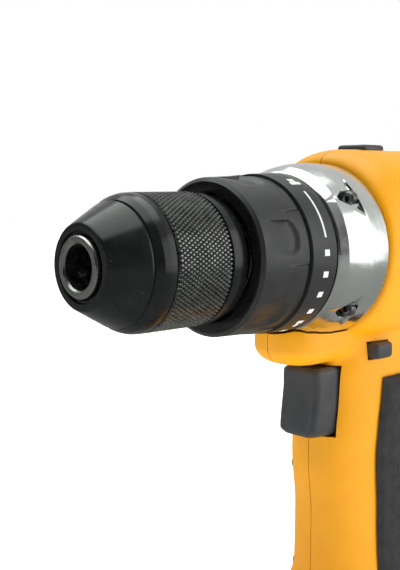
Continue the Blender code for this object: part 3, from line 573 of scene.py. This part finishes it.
def ease(low, high, x):
    t = np.clip((x - low) / (high - low), 0.0, 1.0)
    return t * t * (3.0 - 2.0 * t)


def keep(obj, body, slot, *nodes):
    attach(obj, body)
    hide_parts(*nodes)
    return obj


# ---------------------------------------------------------------- chuck
def jaw_point(angle, s):
    ru, rw = polar(1.0, angle)
    outward = Vector((0.0, ru, rw))
    back = Vector((-math.cos(JAW_TILT), 0.0, 0.0)) + outward * math.sin(JAW_TILT)
    return at(0.0, *polar(JAW_AXIS_R0, angle)) + back * (s * MM / math.cos(JAW_TILT))


def build_chuck_body():
    outline = filleted([
        (-1.5, 9.0, 0.08), (-1.0, 9.46, 0.25), (9.5, 9.46, 0.0), (14.8, 10.2, 0.0), (21.9, 12.5, 0.0),
        (22.3, 17.6, 0.2), (31.6, 17.6, 0.3), (32.0, 10.8, 0.3), (48.2, 10.8, 0.3), (48.2, 6.25, 0.2),
        (24.0, 6.25, 0.0), (24.0, 6.8, 0.0), (-0.9, 6.8, 0.12), (-1.5, 7.4, 0.08),
    ])
    body = revolved("chuck_body_steel", outline, 144, "nose_steel")
    bores = [
        rod(f"jaw_bore_{k}", jaw_point(a, -4.0), jaw_point(a, 33.0), JAW_RADIUS + 0.3, 48)
        for k, a in enumerate(JAW_ANGLES)
    ]
    cut(body, bores, angle=28.0)
    keep(body, "spindle", "steel_bright", "chuck_body")


def build_jaws():
    for number, angle in enumerate(JAW_ANGLES, start=1):
        ru, rw = polar(1.0, angle)
        outward = Vector((0.0, ru, rw))
        tip, end = jaw_point(angle, JAW_TIP_S), jaw_point(angle, JAW_END_S)
        jaw = rod(f"jaw_{number}_steel", tip, end, JAW_RADIUS - 0.02, 56)
        bm = bmesh.new()
        bm.from_mesh(jaw.data)
        planes = [(at(JAW_TIP_S + 1.0), Vector((1.0, 0.0, 0.0)))]
        edge = at(0.0) + outward * JAW_OPEN_R * MM
        for side in (-1.0, 1.0):
            # two gripping faces that meet in an edge along the drill's axis
            planes.append((edge, -(Matrix.Rotation(side * math.radians(30.0), 3, "X") @ outward)))
        for point, normal in planes:
            geometry = bm.verts[:] + bm.edges[:] + bm.faces[:]
            found = bmesh.ops.bisect_plane(
                bm, geom=geometry, plane_co=point, plane_no=normal, clear_outer=True
            )
            border = [e for e in found["geom_cut"] if isinstance(e, bmesh.types.BMEdge)]
            bmesh.ops.contextual_create(bm, geom=border)
        bmesh.ops.recalc_face_normals(bm, faces=bm.faces)
        bm.to_mesh(jaw.data)
        bm.free()
        jaw.data.materials.append(MATERIALS["jaw_steel"])
        soften = jaw.modifiers.new("round", "BEVEL")
        soften.width, soften.segments, soften.limit_method = 0.12 * MM, 2, "ANGLE"
        applied(jaw, 24.0)
        keep(jaw, f"jaw_{number}", "steel_bright", f"chuck_jaw_{number}")


def build_nose_sleeve():
    outline = filleted([
        (-0.5, 12.9, 0.1), (-0.1, 13.3, 0.3), (11.2, 19.36, 0.2), (11.55, 19.0, 0.0),
        (12.1, 19.0, 0.0), (12.35, 19.55, 0.2), (14.3, 20.95, 1.3), (16.5, 21.6, 1.0),
        (18.6, 21.7, 0.12), (18.6, 19.2, 0.1), (14.0, 19.0, 0.0), (10.0, 15.2, 0.0),
        (10.0, 9.9, 0.0), (0.35, 9.9, 0.0), (0.35, 10.7, 0.0), (-0.5, 10.9, 0.1),
    ])
    nose = revolved("nose_sleeve_turned", outline, 192, "sleeve")
    keep(nose, "chuck_sleeve", "steel_black", "chuck_nose_sleeve")


def knurl_place(s, radius, angle):
    return (NOSE_X - s) * MM, radius * math.cos(angle) * MM, (AXIS_Z + radius * math.sin(angle)) * MM


def build_grip_sleeve():
    """Diamond knurl as real flat-topped pyramids between two smooth bands."""
    starts, rows = 96, 19
    top, floor = 21.75, 21.05
    s0, s1 = 19.35, 41.75
    half_s = (s1 - s0) / rows
    half_a = math.pi / starts
    verts, faces, index = [], [], {}

    def point(col, row, radius):
        key = (col % (2 * starts), row, radius)
        if key not in index:
            a = key[0] * half_a
            index[key] = len(verts)
            verts.append(knurl_place(s0 + row * half_s, radius, a))
        return index[key]

    crown = 0.44
    for row in range(1, rows):
        for col in range(2 * starts):
            if (row + col) % 2:
                continue
            corners = [(col, row - 1), (col + 1, row), (col, row + 1), (col - 1, row)]
            low = [point(c, r, floor) for c, r in corners]
            high = []
            for c, r in corners:
                a = (col + (c - col) * crown) * half_a
                s = s0 + (row + (r - row) * crown) * half_s
                high.append(len(verts))
                verts.append(knurl_place(s, top, a))
            faces.append(high)
            for k in range(4):
                faces.append((low[k], low[(k + 1) % 4], high[(k + 1) % 4], high[k]))
    for row, inner in ((0, 1), (rows, rows - 1)):
        for col in range(2 * starts):
            if (row + col) % 2:
                continue
            # the half diamonds at the ends of the pattern
            faces.append((point(col - 1, inner, floor), point(col, row, floor), point(col + 1, inner, floor)))
    # the bands before and behind the knurl, and the inside
    first = [(s0, floor), (18.98, top - 0.02), (18.9, top - 0.1), (18.9, 19.2)]
    last = [
        (s1, floor), (41.95, top - 0.03), (42.15, 21.5), (44.9, 21.66),
        (45.25, 21.62), (45.45, 21.4), (45.5, 21.2), (45.5, 19.2),
    ]

    def band(levels, row):
        rings = []
        for s, r in levels[1:]:
            ring = []
            for col in range(2 * starts):
                a = col * half_a
                ring.append(len(verts))
                verts.append(knurl_place(s, r, a))
            rings.append(ring)
        cols = 2 * starts
        for col in range(0, cols):
            if (row + col) % 2:
                continue
            a, b = point(col, row, floor), point(col + 2, row, floor)
            faces.append((a, b, rings[0][(col + 2) % cols], rings[0][(col + 1) % cols], rings[0][col]))
        for low, high in zip(rings, rings[1:]):
            for col in range(cols):
                faces.append((low[col], low[(col + 1) % cols], high[(col + 1) % cols], high[col]))
        return rings[-1]

    start_ring = band(first, 0)
    end_ring = band(last, rows)
    cols = 2 * starts
    for col in range(cols):
        after = (col + 1) % cols
        faces.append((start_ring[col], start_ring[after], end_ring[after], end_ring[col]))
    sleeve = solid("knurled_sleeve", verts, faces, "knurl", 14.0)
    sleeve.data.materials.append(MATERIALS["sleeve"])
    for face in sleeve.data.polygons:
        s = NOSE_X - face.center.x / MM
        if s < s0 or s > s1:
            face.material_index = 1
    keep(sleeve, "chuck_sleeve", "steel_black", "chuck_grip_sleeve")


def build_rear_ring():
    outline = filleted([(45.8, 20.8, 0.25), (48.6, 20.8, 0.25), (48.6, 11.1, 0.0), (45.8, 11.1, 0.0)])
    keep(revolved("chuck_back_ring", outline, 128, "sleeve"), "spindle", "steel_black", "chuck_rear_ring")


# ---------------------------------------------------------------- torque collar
def collar_relief(s, r, degrees):
    """Scooped finger recesses between pads that rise towards the back, six of each."""
    outer = ease(23.5, 24.5, r)
    phase = (degrees + 13.9 + 30.0) % 60.0 - 30.0
    within = ease(10.6, 9.9, np.abs(phase))
    pad = within * ease(60.0, 69.5, s) * ease(70.6, 70.35, s)
    slot = within * ease(70.2, 70.5, s) * ease(71.5, 71.2, s)
    across = (degrees - 15.5 + 30.0) % 60.0 - 30.0
    bow = 0.012 * across**2
    sides = ease(13.6, 12.6, across) * ease(-14.5, -7.0, across)
    scoop = sides * ease(51.5, 64.5, s) * ease(68.4 - bow, 65.4 - bow, s)
    return r + outer * (0.6 * pad - 0.9 * slot - 1.25 * scoop)


def build_collar():
    points = [
        (49.9, 24.9, 0.2), (51.1, 26.3, 0.2), (60.0, 26.6, 0.0), (71.5, 26.6, 0.25), (71.9, 26.2, 0.0),
        (71.9, 22.4, 0.0), (53.0, 22.4, 0.0), (52.5, 21.4, 0.0), (49.9, 21.4, 0.3),
    ]
    outline = divided(filleted(points), 0.32, 16)
    grip = revolved("collar_grip_moulding", outline, 720, "collar", collar_relief, 40.0)
    grip.data.materials.append(MATERIALS["collar_face"])
    # the front ring of faces takes the glossier, darker material, whose darker colour is painted shade
    for face in grip.data.polygons:
        reach = math.hypot(face.center.y / MM, face.center.z / MM - AXIS_Z)
        if NOSE_X - face.center.x / MM < 50.3 and reach < 25.1:
            face.material_index = 1
    keep(grip, "torque_collar", "plastic_black", "torque_collar_grip")

    outline = filleted([
        (72.2, 27.5, 0.2), (83.9, 27.8, 0.3), (84.2, 27.4, 0.1), (84.2, 22.4, 0.0), (72.2, 22.4, 0.0),
    ])
    ring = revolved("collar_marks_moulding", outline, 256, "collar")
    keep(ring, "torque_collar", "plastic_black", "torque_collar_marks_ring")

    patches = []

    def patch(s0, s1, a0, a1):
        patches.append((s0, s1, a0, a1))

    for k in range(13):
        middle = 3.5 - 15.0 * k
        if k != 4:
            patch(77.8, 80.2, middle - 2.25, middle + 2.25)
    patch(78.6, 79.45, 14.0, 51.5)
    # plain blocks where the setting symbols are
    patch(76.6, 81.4, 59.5, 63.2)
    patch(77.6, 80.4, 63.6, 68.0)
    patch(77.5, 80.5, -52.5, -56.2)
    patch(78.2, 79.8, -56.8, -61.5)
    verts, faces = [], []
    for s0, s1, a0, a1 in patches:
        a0, a1 = min(a0, a1), max(a0, a1)
        count = max(int((a1 - a0) / 1.0), 3)
        # place along the drill, lift over the ring and inset of the ends, round one section
        rise = [
            (s0, -0.12, 0.0), (s0, 0.035, 0.12), (s0 + 0.12, 0.06, 0.3),
            (s1 - 0.12, 0.06, 0.3), (s1, 0.035, 0.12), (s1, -0.12, 0.0),
        ]
        rings = []
        for k in range(count + 1):
            ring = []
            for s, lift, inset in rise:
                t = k / count
                a = a0 + (a1 - a0) * t
                a += inset * (1.0 if k == 0 else -1.0 if k == count else 0.0) * 0.5
                r = 27.5 + 0.3 * (s - 72.2) / 11.7 + lift
                ring.append(len(verts))
                verts.append(at(s, *polar(r, a)))
            rings.append(ring)
        for low, high in zip(rings, rings[1:]):
            for k in range(6):
                faces.append((low[k], low[(k + 1) % 6], high[(k + 1) % 6], high[k]))
        faces.append(rings[0][::-1])
        faces.append(rings[-1])
    marks = solid("collar_marks_paint", verts, faces, "mark", 30.0)
    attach(marks, "torque_collar")


# ---------------------------------------------------------------- gear case
def case_relief(s, r, degrees):
    """Four screw pockets scooped out of the skin, deeper towards the housing."""
    outer = ease(25.5, 26.5, r) * ease(84.2, 85.4, s)
    result = r.copy()
    for angle in GEARCASE_SCREW_ANGLES:
        off = np.radians((degrees - angle + 180.0) % 360.0 - 180.0)
        side = np.abs(30.0 * np.sin(np.clip(off, -1.5, 1.5)))
        # a broad shallow facet that narrows towards the front, then the pocket itself
        broad = (s - 84.6) * 0.62 - side
        facet = 0.75 * ease(0.0, 4.2, broad) * ease(98.4, 98.2, s)
        width = np.clip((s - 88.6) * 0.68, 0.0, 3.25)
        inside = np.clip(width - side, 0.0, None)
        floor = np.minimum(inside * 2.6, (s - 88.6) * 0.52)
        pocket = np.where(s < 98.3, np.clip(floor, 0.0, 4.6), 0.0)
        lip = 0.35
        pocket = np.where(pocket < lip, pocket * pocket / (2.0 * lip), pocket - 0.5 * lip)
        result = result - outer * np.maximum(facet, pocket)
    return result


def build_gear_case():
    points = [
        (84.6, 27.8, 0.15), (85.0, 28.3, 0.3), (88.0, 30.0, 1.4), (93.0, 31.0, 2.0),
        (99.0, 31.5, 0.0), (107.7, 31.5, 0.2),
        (107.7, 26.1, 0.0), (111.0, 26.1, 0.2), (111.0, 24.3, 0.2), (88.4, 24.3, 0.0), (88.4, 11.9, 0.0),
        (58.2, 11.9, 0.0), (58.2, 9.5, 0.0), (56.0, 9.5, 0.2), (56.0, 15.2, 0.4), (84.6, 15.2, 0.4),
    ]
    outline = divided(filleted(points), 0.3, 26)
    case = revolved("gear_case_casting", outline, 900, "alloy", case_relief, 50.0)
    keep(case, "drill_body", "alloy_polished", "gear_case")
    for number, angle in enumerate(GEARCASE_SCREW_ANGLES, start=1):
        profile = [(95.2, 2.1, 0.1), (95.7, 2.5, 0.3), (98.0, 2.5, 0.1), (98.0, 1.4, 0.0), (109.7, 1.4, 0.3)]
        centre = polar(GEARCASE_SCREW_R, angle)
        screw = spun(f"case_screw_{number}", profile, 32, "screw_steel", centre)
        socket = rod(f"case_screw_socket_{number}", at(94.0, *centre), at(96.6, *centre), 1.15, 6)
        cut(screw, [socket])
        keep(screw, "drill_body", "steel_grey", f"gearcase_screw_{number}")


# ---------------------------------------------------------------- housing
def chin_rings():
    rings = []
    levels = steps_between(-26.0, -41.3, 0.55)
    for w, (front, half) in zip(levels, smooth_table(CHIN, levels)):
        corner = min(12.6, half)
        ring = [at(122.0, half, w), at(front + corner, half, w)]
        for k in range(1, 20):
            a = math.pi / 2.0 * k / 20
            ring.append(at(front + corner * (1.0 - math.sin(a)), (half - corner) + corner * math.cos(a), w))
        ring.append(at(front, max(half - corner, 0.05), w))
        rings.append(ring + [Vector((p.x, -p.y, p.z)) for p in reversed(ring)])
    return rings


def barrel_exponent(s):
    return 2.0 + 0.35 * min(max((s - 108.2) / 16.0, 0.0), 1.0)


def bore_profile():
    return [
        (70.0, 28.6, 0.0), (84.4, 28.6, 0.0), (88.0, 30.4, 0.0), (93.0, 31.4, 0.0), (99.0, 31.9, 0.0),
        (108.0, 31.9, 0.0), (108.0, 26.5, 0.0), (111.3, 26.5, 0.0), (111.3, 30.2, 0.0), (113.0, 30.2, 0.0),
        (113.0, 18.6, 0.0), (116.0, 18.6, 0.0), (116.0, 30.4, 0.0), (163.0, 29.6, 0.0), (163.0, 18.6, 0.0),
        (166.5, 18.6, 0.0), (166.5, 29.4, 0.0), (190.0, 27.6, 0.0), (206.0, 26.2, 0.0),
    ]


def upright_form(name, table, levels, exponent, count, shrink=0.0):
    """Solid that stands upright through the level sections of a station table."""
    rows = smooth_table(table, levels)
    rings = [level_ring(w, *row, exponent, count, shrink=shrink) for w, row in zip(levels, rows)]
    return lofted(name, rings, None)


def build_housing():
    stations = steps_between(108.2, 200.0, 1.6)
    rows = zip(stations, smooth_table(BARREL, stations))
    barrel = lofted("housing_form", [upright_ring(s, *row, barrel_exponent(s), 128) for s, row in rows], None)
    grip = upright_form("grip_form", GRIP, steps_between(-20.0, -148.0, 1.6), 2.5, 96)
    foot = upright_form("foot_form", FOOT, steps_between(-147.0, -165.1, 0.8), 4.0, 128)
    chin = lofted("chin_form", chin_rings(), None)

    # the four forms become one skin, softened where they meet
    bm = bmesh.new()
    for part in (barrel, grip, foot, chin):
        bm.from_mesh(part.data)
    bm.to_mesh(barrel.data)
    bm.free()
    for part in (grip, foot, chin):
        bpy.data.objects.remove(part, do_unlink=True)
    remesh = barrel.modifiers.new("skin", "REMESH")
    remesh.mode, remesh.voxel_size = "VOXEL", 0.85 * MM
    soften = barrel.modifiers.new("soften", "SMOOTH")
    soften.factor, soften.iterations = 0.5, 7
    applied(barrel)

    tools = [spun("barrel_space", bore_profile(), 160, None)]
    levels = [-21.0, -46.0, -66.0, -100.0, -122.0, -134.0, -141.0]
    tools.append(upright_form("grip_space", GRIP, levels, 2.5, 32, shrink=3.0))
    tools.append(block("trigger_slot", (90.0, 126.0), (-10.35, 10.35), (-69.0, -42.5)))
    tools.append(block("direction_slot", (118.6, 129.4), (-30.0, 30.0), (-40.9, -34.1)))
    tools.append(block("selector_recess", (124.0, 149.0), (-7.4, 7.4), (34.2, 45.0)))
    tools.append(block("lead_way", (145.0, 156.5), (-8.0, 8.0), (-156.0, -139.5)))
    tools.append(block("rail_neck", (60.0, 177.0), (-18.1, 18.1), (-170.0, -158.0)))
    tools.append(block("rail_flange", (60.0, 177.0), (-22.1, 22.1), (-160.4, -153.6)))
    tools.append(rod("lens_pocket", at(70.0, 0.0, -150.2), at(83.6, 0.0, -150.2), 2.75, 32))
    for number, (s, w, reach) in enumerate(HOUSING_SCREWS):
        tools.append(rod(f"head_way_{number}", at(s, -45.0, w), at(s, -reach, w), 3.2, 32))
    cut(barrel, tools, angle=30.0)

    for name, side in (("housing_left_shell", 1.0), ("housing_right_shell", -1.0)):
        mesh = barrel.data.copy()
        bm = bmesh.new()
        bm.from_mesh(mesh)
        geometry = bm.verts[:] + bm.edges[:] + bm.faces[:]
        seam, inward = (0.0, side * 0.15 * MM, 0.0), (0.0, -side, 0.0)
        found = bmesh.ops.bisect_plane(bm, geom=geometry, plane_co=seam, plane_no=inward, clear_outer=True)
        border = [e for e in found["geom_cut"] if isinstance(e, bmesh.types.BMEdge)]
        bmesh.ops.triangle_fill(bm, use_beauty=True, edges=border)
        bmesh.ops.recalc_face_normals(bm, faces=bm.faces)
        bm.to_mesh(mesh)
        bm.free()
        shell = bpy.data.objects.new(name, mesh)
        bpy.context.scene.collection.objects.link(shell)
        mesh.materials.clear()
        mesh.materials.append(MATERIALS["yellow"])
        shaded(mesh, 30.0)
        keep(shell, "drill_body", "plastic_yellow", "housing_left" if side > 0 else "housing_right")
    bpy.data.objects.remove(barrel, do_unlink=True)


def build_end_cap():
    places = [200.3, 200.9, 202.0, 204.0, 206.0, 207.5, 209.0, 210.5, 211.5, 212.4, 213.2, 213.7, 214.0]
    rings = [upright_ring(s, *row, 2.35, 128) for s, row in zip(places, smooth_table(END_CAP, places))]
    for shrink in (3.0, 8.0, 14.0):
        rings.append(upright_ring(214.0, 21.5, 19.0, 19.0, 2.35, 128, shrink=shrink))
    cap = lofted("end_cap_moulding", rings, "black", 40.0)
    cutters = [spun("cap_space", [(199.0, 26.0, 0.0), (208.0, 24.0, 0.0), (210.5, 20.0, 0.0)], 96, None)]
    for side in (-1.0, 1.0):
        for k in range(3):
            w = -10.0 + 10.0 * k
            reach = (side * 18.0, side * 34.0)
            cutters.append(block(f"vent_{side}_{k}", (203.5, 208.0), reach, (w - 1.3, w + 1.3), bevel=0.5))
    cut(cap, cutters, angle=34.0)
    keep(cap, "drill_body", "plastic_black", "end_cap")


def build_rubber():
    """Over-mould round the back of the grip, its borders rolled down to the shell."""
    levels = steps_between(-48.0, -127.0, 1.0)
    first, last = TAU * 5.5 / 24.0, TAU * 18.5 / 24.0
    count = 110
    rings = []
    for level, (front, rear, half) in zip(levels, smooth_table(GRIP, levels)):
        middle, reach = (front + rear) / 2.0, (rear - front) / 2.0
        ring = []
        for outer in (True, False):
            for k in range(count):
                t = k / (count - 1.0)
                a = first + (last - first) * (t if outer else 1.0 - t)
                x, y = rounded(a, 2.5)
                offset = 0.5
                if outer:
                    edge = min(t, 1.0 - t) * 60.0
                    end = min(abs(level + 48.0), abs(level + 127.0))
                    rise = float(ease(0.0, 1.6, edge) * ease(0.0, 1.6, end))
                    inner = float(ease(5.0, 6.0, edge) * ease(5.0, 6.0, end))
                    rib = 0.5 + 0.5 * math.cos(TAU * level / 5.0)
                    offset = 0.75 + 1.2 * rise - 0.55 * inner * float(ease(0.25, 0.6, rib))
                ring.append(at(middle - x * (reach + offset), y * (half + offset), level))
        rings.append(ring)
    keep(lofted("grip_overmould", rings, "rubber", 50.0), "drill_body", "rubber_black", "grip_rubber")


def build_housing_screws():
    profile = [(0.0, 2.45, 0.1), (0.35, 2.8, 0.2), (2.4, 2.8, 0.1), (2.4, 1.3, 0.0), (17.0, 1.3, 0.3)]
    # the screw is made along the drill and turned to run in from the right side
    origin = Matrix.Translation(-at(0.0))
    turn = Matrix.Rotation(math.pi / 2.0, 4, "Z") @ Matrix.Rotation(math.pi, 4, "Z")
    for number, (s, w, reach) in enumerate(HOUSING_SCREWS, start=1):
        screw = spun(f"shell_screw_{number}", profile, 32, "screw_steel")
        socket = rod("socket", at(-1.0), at(1.4), 1.25, 6)
        cut(screw, [socket])
        screw.data.transform(Matrix.Translation(at(s, -reach - 2.7, w)) @ turn @ origin)
        keep(screw, "drill_body", "steel_grey", f"housing_screw_{number}")


# ---------------------------------------------------------------- controls
def build_trigger():
    levels = [-42.9, -43.1, -43.5, *steps_between(-44.0, -67.2, 0.6), -67.7, -68.0, -68.2]
    rings = []
    for w, (front, lead_half, rear_half) in zip(levels, smooth_table(TRIGGER, levels)):
        corner = 3.2
        side = [(117.0, rear_half - 0.3), (116.6, rear_half), (106.0, rear_half)]
        side.append((front + corner + 1.5, lead_half + 0.2))
        for k in range(11):
            a = math.pi / 2.0 * k / 10.0
            side.append((front + corner * (1.0 - math.sin(a)), lead_half - corner + corner * math.cos(a)))
        for k in (0.66, 0.33):
            side.append((front, (lead_half - corner) * k))
        half = [at(s, u, w) for s, u in side]
        rings.append(half + [Vector((p.x, -p.y, p.z)) for p in reversed(half)])
    trigger = lofted("trigger_moulding", rings, "trigger", 40.0)
    keep(trigger, "trigger", "plastic_charcoal", "trigger")


def build_controls():
    build_trigger()
    button = block("direction_slider", (119.0, 129.0), (-19.4, 19.4), (-40.5, -34.5), "trigger", bevel=1.6)
    applied(button)
    keep(button, "direction_button", "plastic_charcoal", "direction_button")
    slider = refined("speed_selector", "speed_slider", "trigger", 0.25)
    keep(slider, "speed_selector", "plastic_charcoal", "speed_selector")
    lens = spun("work_light", [(76.4, 2.2, 0.5), (83.0, 2.4, 0.2)], 40, "lens")
    lens.data.transform(Matrix.Translation((0.0, 0.0, -150.2 * MM)))
    keep(lens, "drill_body", "lens_clear", "work_light_lens")


def build_battery():
    shell = refined("battery_case", "battery_shell", "black", 0.7)
    keep(shell, "battery", "plastic_black", "battery_case")
    cover = refined("battery_cover", "battery_top_cover", "black", 0.3, 2)
    keep(cover, "battery", "plastic_black", "battery_cover")
    button = block("battery_latch", (66.4, 72.4), (-12.9, 12.9), (-178.6, -172.2), "yellow", bevel=1.2)
    applied(button)
    keep(button, "release_button", "plastic_yellow", "battery_release_button")


CARRIED = {
    "steel": (
        "chuck_nut", "chuck_screw", "spindle", "planet_carrier", "planet_gear_1", "planet_gear_2",
        "planet_gear_3", "ring_gear", "spindle_bearing", "clutch_plate", "clutch_spring", "motor_can",
        "motor_pinion", "motor_shaft", "trigger_spring",
    ),
    "black": ("clutch_nut", "motor_end_bell", "motor_fan", "trigger_switch"),
    "magnet": ("motor_magnet_1", "motor_magnet_2"),
    "copper": ("armature",),
    "brass": ("tool_terminal_block",),
    "cell": tuple(f"battery_cell_{k}" for k in range(1, 6)),
    "red": ("lead_battery_red",),
    "dark": ("lead_battery_black",),
}


def finish_carried():
    for finish, names in CARRIED.items():
        for name in names:
            slots = frame["nodes"][name].material_slots
            for slot in slots:
                slot.material = MATERIALS[finish]


# ---------------------------------------------------------------- studio
def studio():
    floor = bpy.data.meshes.new("floor")
    size = 4.0
    corners = [(-size, -size, 0), (size, -size, 0), (size, size, 0), (-size, size, 0)]
    floor.from_pydata(corners, [], [(0, 1, 2, 3)])
    ground = bpy.data.objects.new("floor", floor)
    ground.location.z = -0.0004
    bpy.context.scene.collection.objects.link(ground)
    paper = bpy.data.materials.new("white_paper")
    paper.use_nodes = True
    tree = paper.node_tree
    shader = tree.nodes["Principled BSDF"]
    shader.inputs["Specular IOR Level"].default_value = 0.1
    place = node(tree, "TexCoord").outputs["Object"]
    mottle = ranged(tree, noise(tree, place, 220.0, 2.0), 0.3, 0.7, 0.0, 1.0)
    mix = node(tree, "Mix", {0: mottle}, data_type="RGBA")
    mix.inputs[6].default_value = (0.93, 0.93, 0.93, 1.0)
    mix.inputs[7].default_value = (0.95, 0.95, 0.95, 1.0)
    # reflections see a dim floor, so that the dark parts stay dark
    seen = maths(tree, "SUBTRACT", 1.0, node(tree, "LightPath").outputs["Is Glossy Ray"])
    shown = node(tree, "Mix", {0: seen, 7: mix.outputs[2]}, data_type="RGBA")
    shown.inputs[6].default_value = (0.22, 0.22, 0.22, 1.0)
    tree.links.new(shown.outputs[2], shader.inputs["Base Color"])
    tree.links.new(maths(tree, "MULTIPLY", seen, 0.4), shader.inputs["Emission Strength"])
    shader.inputs["Roughness"].default_value = 0.9
    shader.inputs["Emission Color"].default_value = (1.0, 1.0, 1.0, 1.0)
    floor.materials.append(paper)

    world = bpy.data.worlds.new("studio")
    bpy.context.scene.world = world
    world.use_nodes = True
    tree = world.node_tree
    tree.nodes.clear()
    way = node(tree, "TexCoord").outputs["Generated"]
    out = node(tree, "OutputWorld")

    def facing(direction, low, high):
        inputs = {0: way, 1: Vector(direction).normalized()}
        dot = node(tree, "VectorMath", inputs, operation="DOT_PRODUCT").outputs["Value"]
        inputs = {"Value": dot, "From Min": low, "From Max": high, "To Min": 0.0, "To Max": 1.0}
        return node(tree, "MapRange", inputs, interpolation_type="SMOOTHSTEP").outputs[0]

    # a dark room on the photographer's side, a white tent everywhere else
    dark = facing((0.98, 0.17, 0.05), -0.10, 0.45)
    level = ranged(tree, dark, 0.0, 1.0, 0.62, 0.03)
    camera_ray = node(tree, "LightPath").outputs["Is Camera Ray"]
    strength = maths(tree, "MAXIMUM", level, camera_ray)
    sky = node(tree, "Background", {"Color": (1.0, 1.0, 1.0, 1.0), "Strength": strength}).outputs[0]
    tree.links.new(sky, out.inputs["Surface"])

    def lamp(name, place, target, size, size_y, power, colour=(1.0, 1.0, 1.0)):
        data = bpy.data.lights.new(name, "AREA")
        data.shape, data.size, data.size_y, data.energy, data.color = "RECTANGLE", size, size_y, power, colour
        light = bpy.data.objects.new(name, data)
        light.location = place
        light.rotation_euler = (Vector(target) - Vector(place)).to_track_quat("-Z", "Y").to_euler()
        bpy.context.scene.collection.objects.link(light)

    middle = (0.05, 0.0, 0.18)
    lamp("camera_right", (-0.42, 0.90, 0.42), middle, 1.1, 1.0, 5.0)
    lamp("front", (0.9, -0.25, 0.25), (0.12, 0.0, 0.203), 0.12, 0.12, 0.8)
    # a broad soft light from above, slightly green as in the photograph's highlights
    broad = bpy.data.lights.new("overhead", "SUN")
    broad.energy = 2.8
    broad.angle = math.radians(70.0)
    broad.color = (0.93, 1.0, 0.94)
    key = bpy.data.objects.new("overhead", broad)
    key.rotation_euler = Vector((-0.02, 0.2, -0.98)).to_track_quat("-Z", "Y").to_euler()
    bpy.context.scene.collection.objects.link(key)


def camera():
    data = bpy.data.cameras.new("camera")
    data.lens = 60.0
    data.sensor_width = 36.0
    data.clip_start = 0.01
    view = bpy.data.objects.new("camera", data)
    turn, tilt = math.radians(43.263), math.radians(6.267)
    back = Vector((math.sin(turn) * math.cos(tilt), math.cos(turn) * math.cos(tilt), math.sin(tilt)))
    view.location = (0.28899, 0.22495, 0.22813)
    view.rotation_euler = (-back).to_track_quat("-Z", "Y").to_euler()
    bpy.context.scene.collection.objects.link(view)
    bpy.context.scene.camera = view


build_chuck_body()
build_jaws()
build_nose_sleeve()
build_grip_sleeve()
build_rear_ring()
build_collar()
build_gear_case()
build_housing()
build_end_cap()
build_rubber()
build_housing_screws()
build_controls()
build_battery()
finish_carried()
studio()
camera()
bpy.context.scene.view_settings.view_transform = "Standard"
bpy.context.scene.view_settings.look = "None"
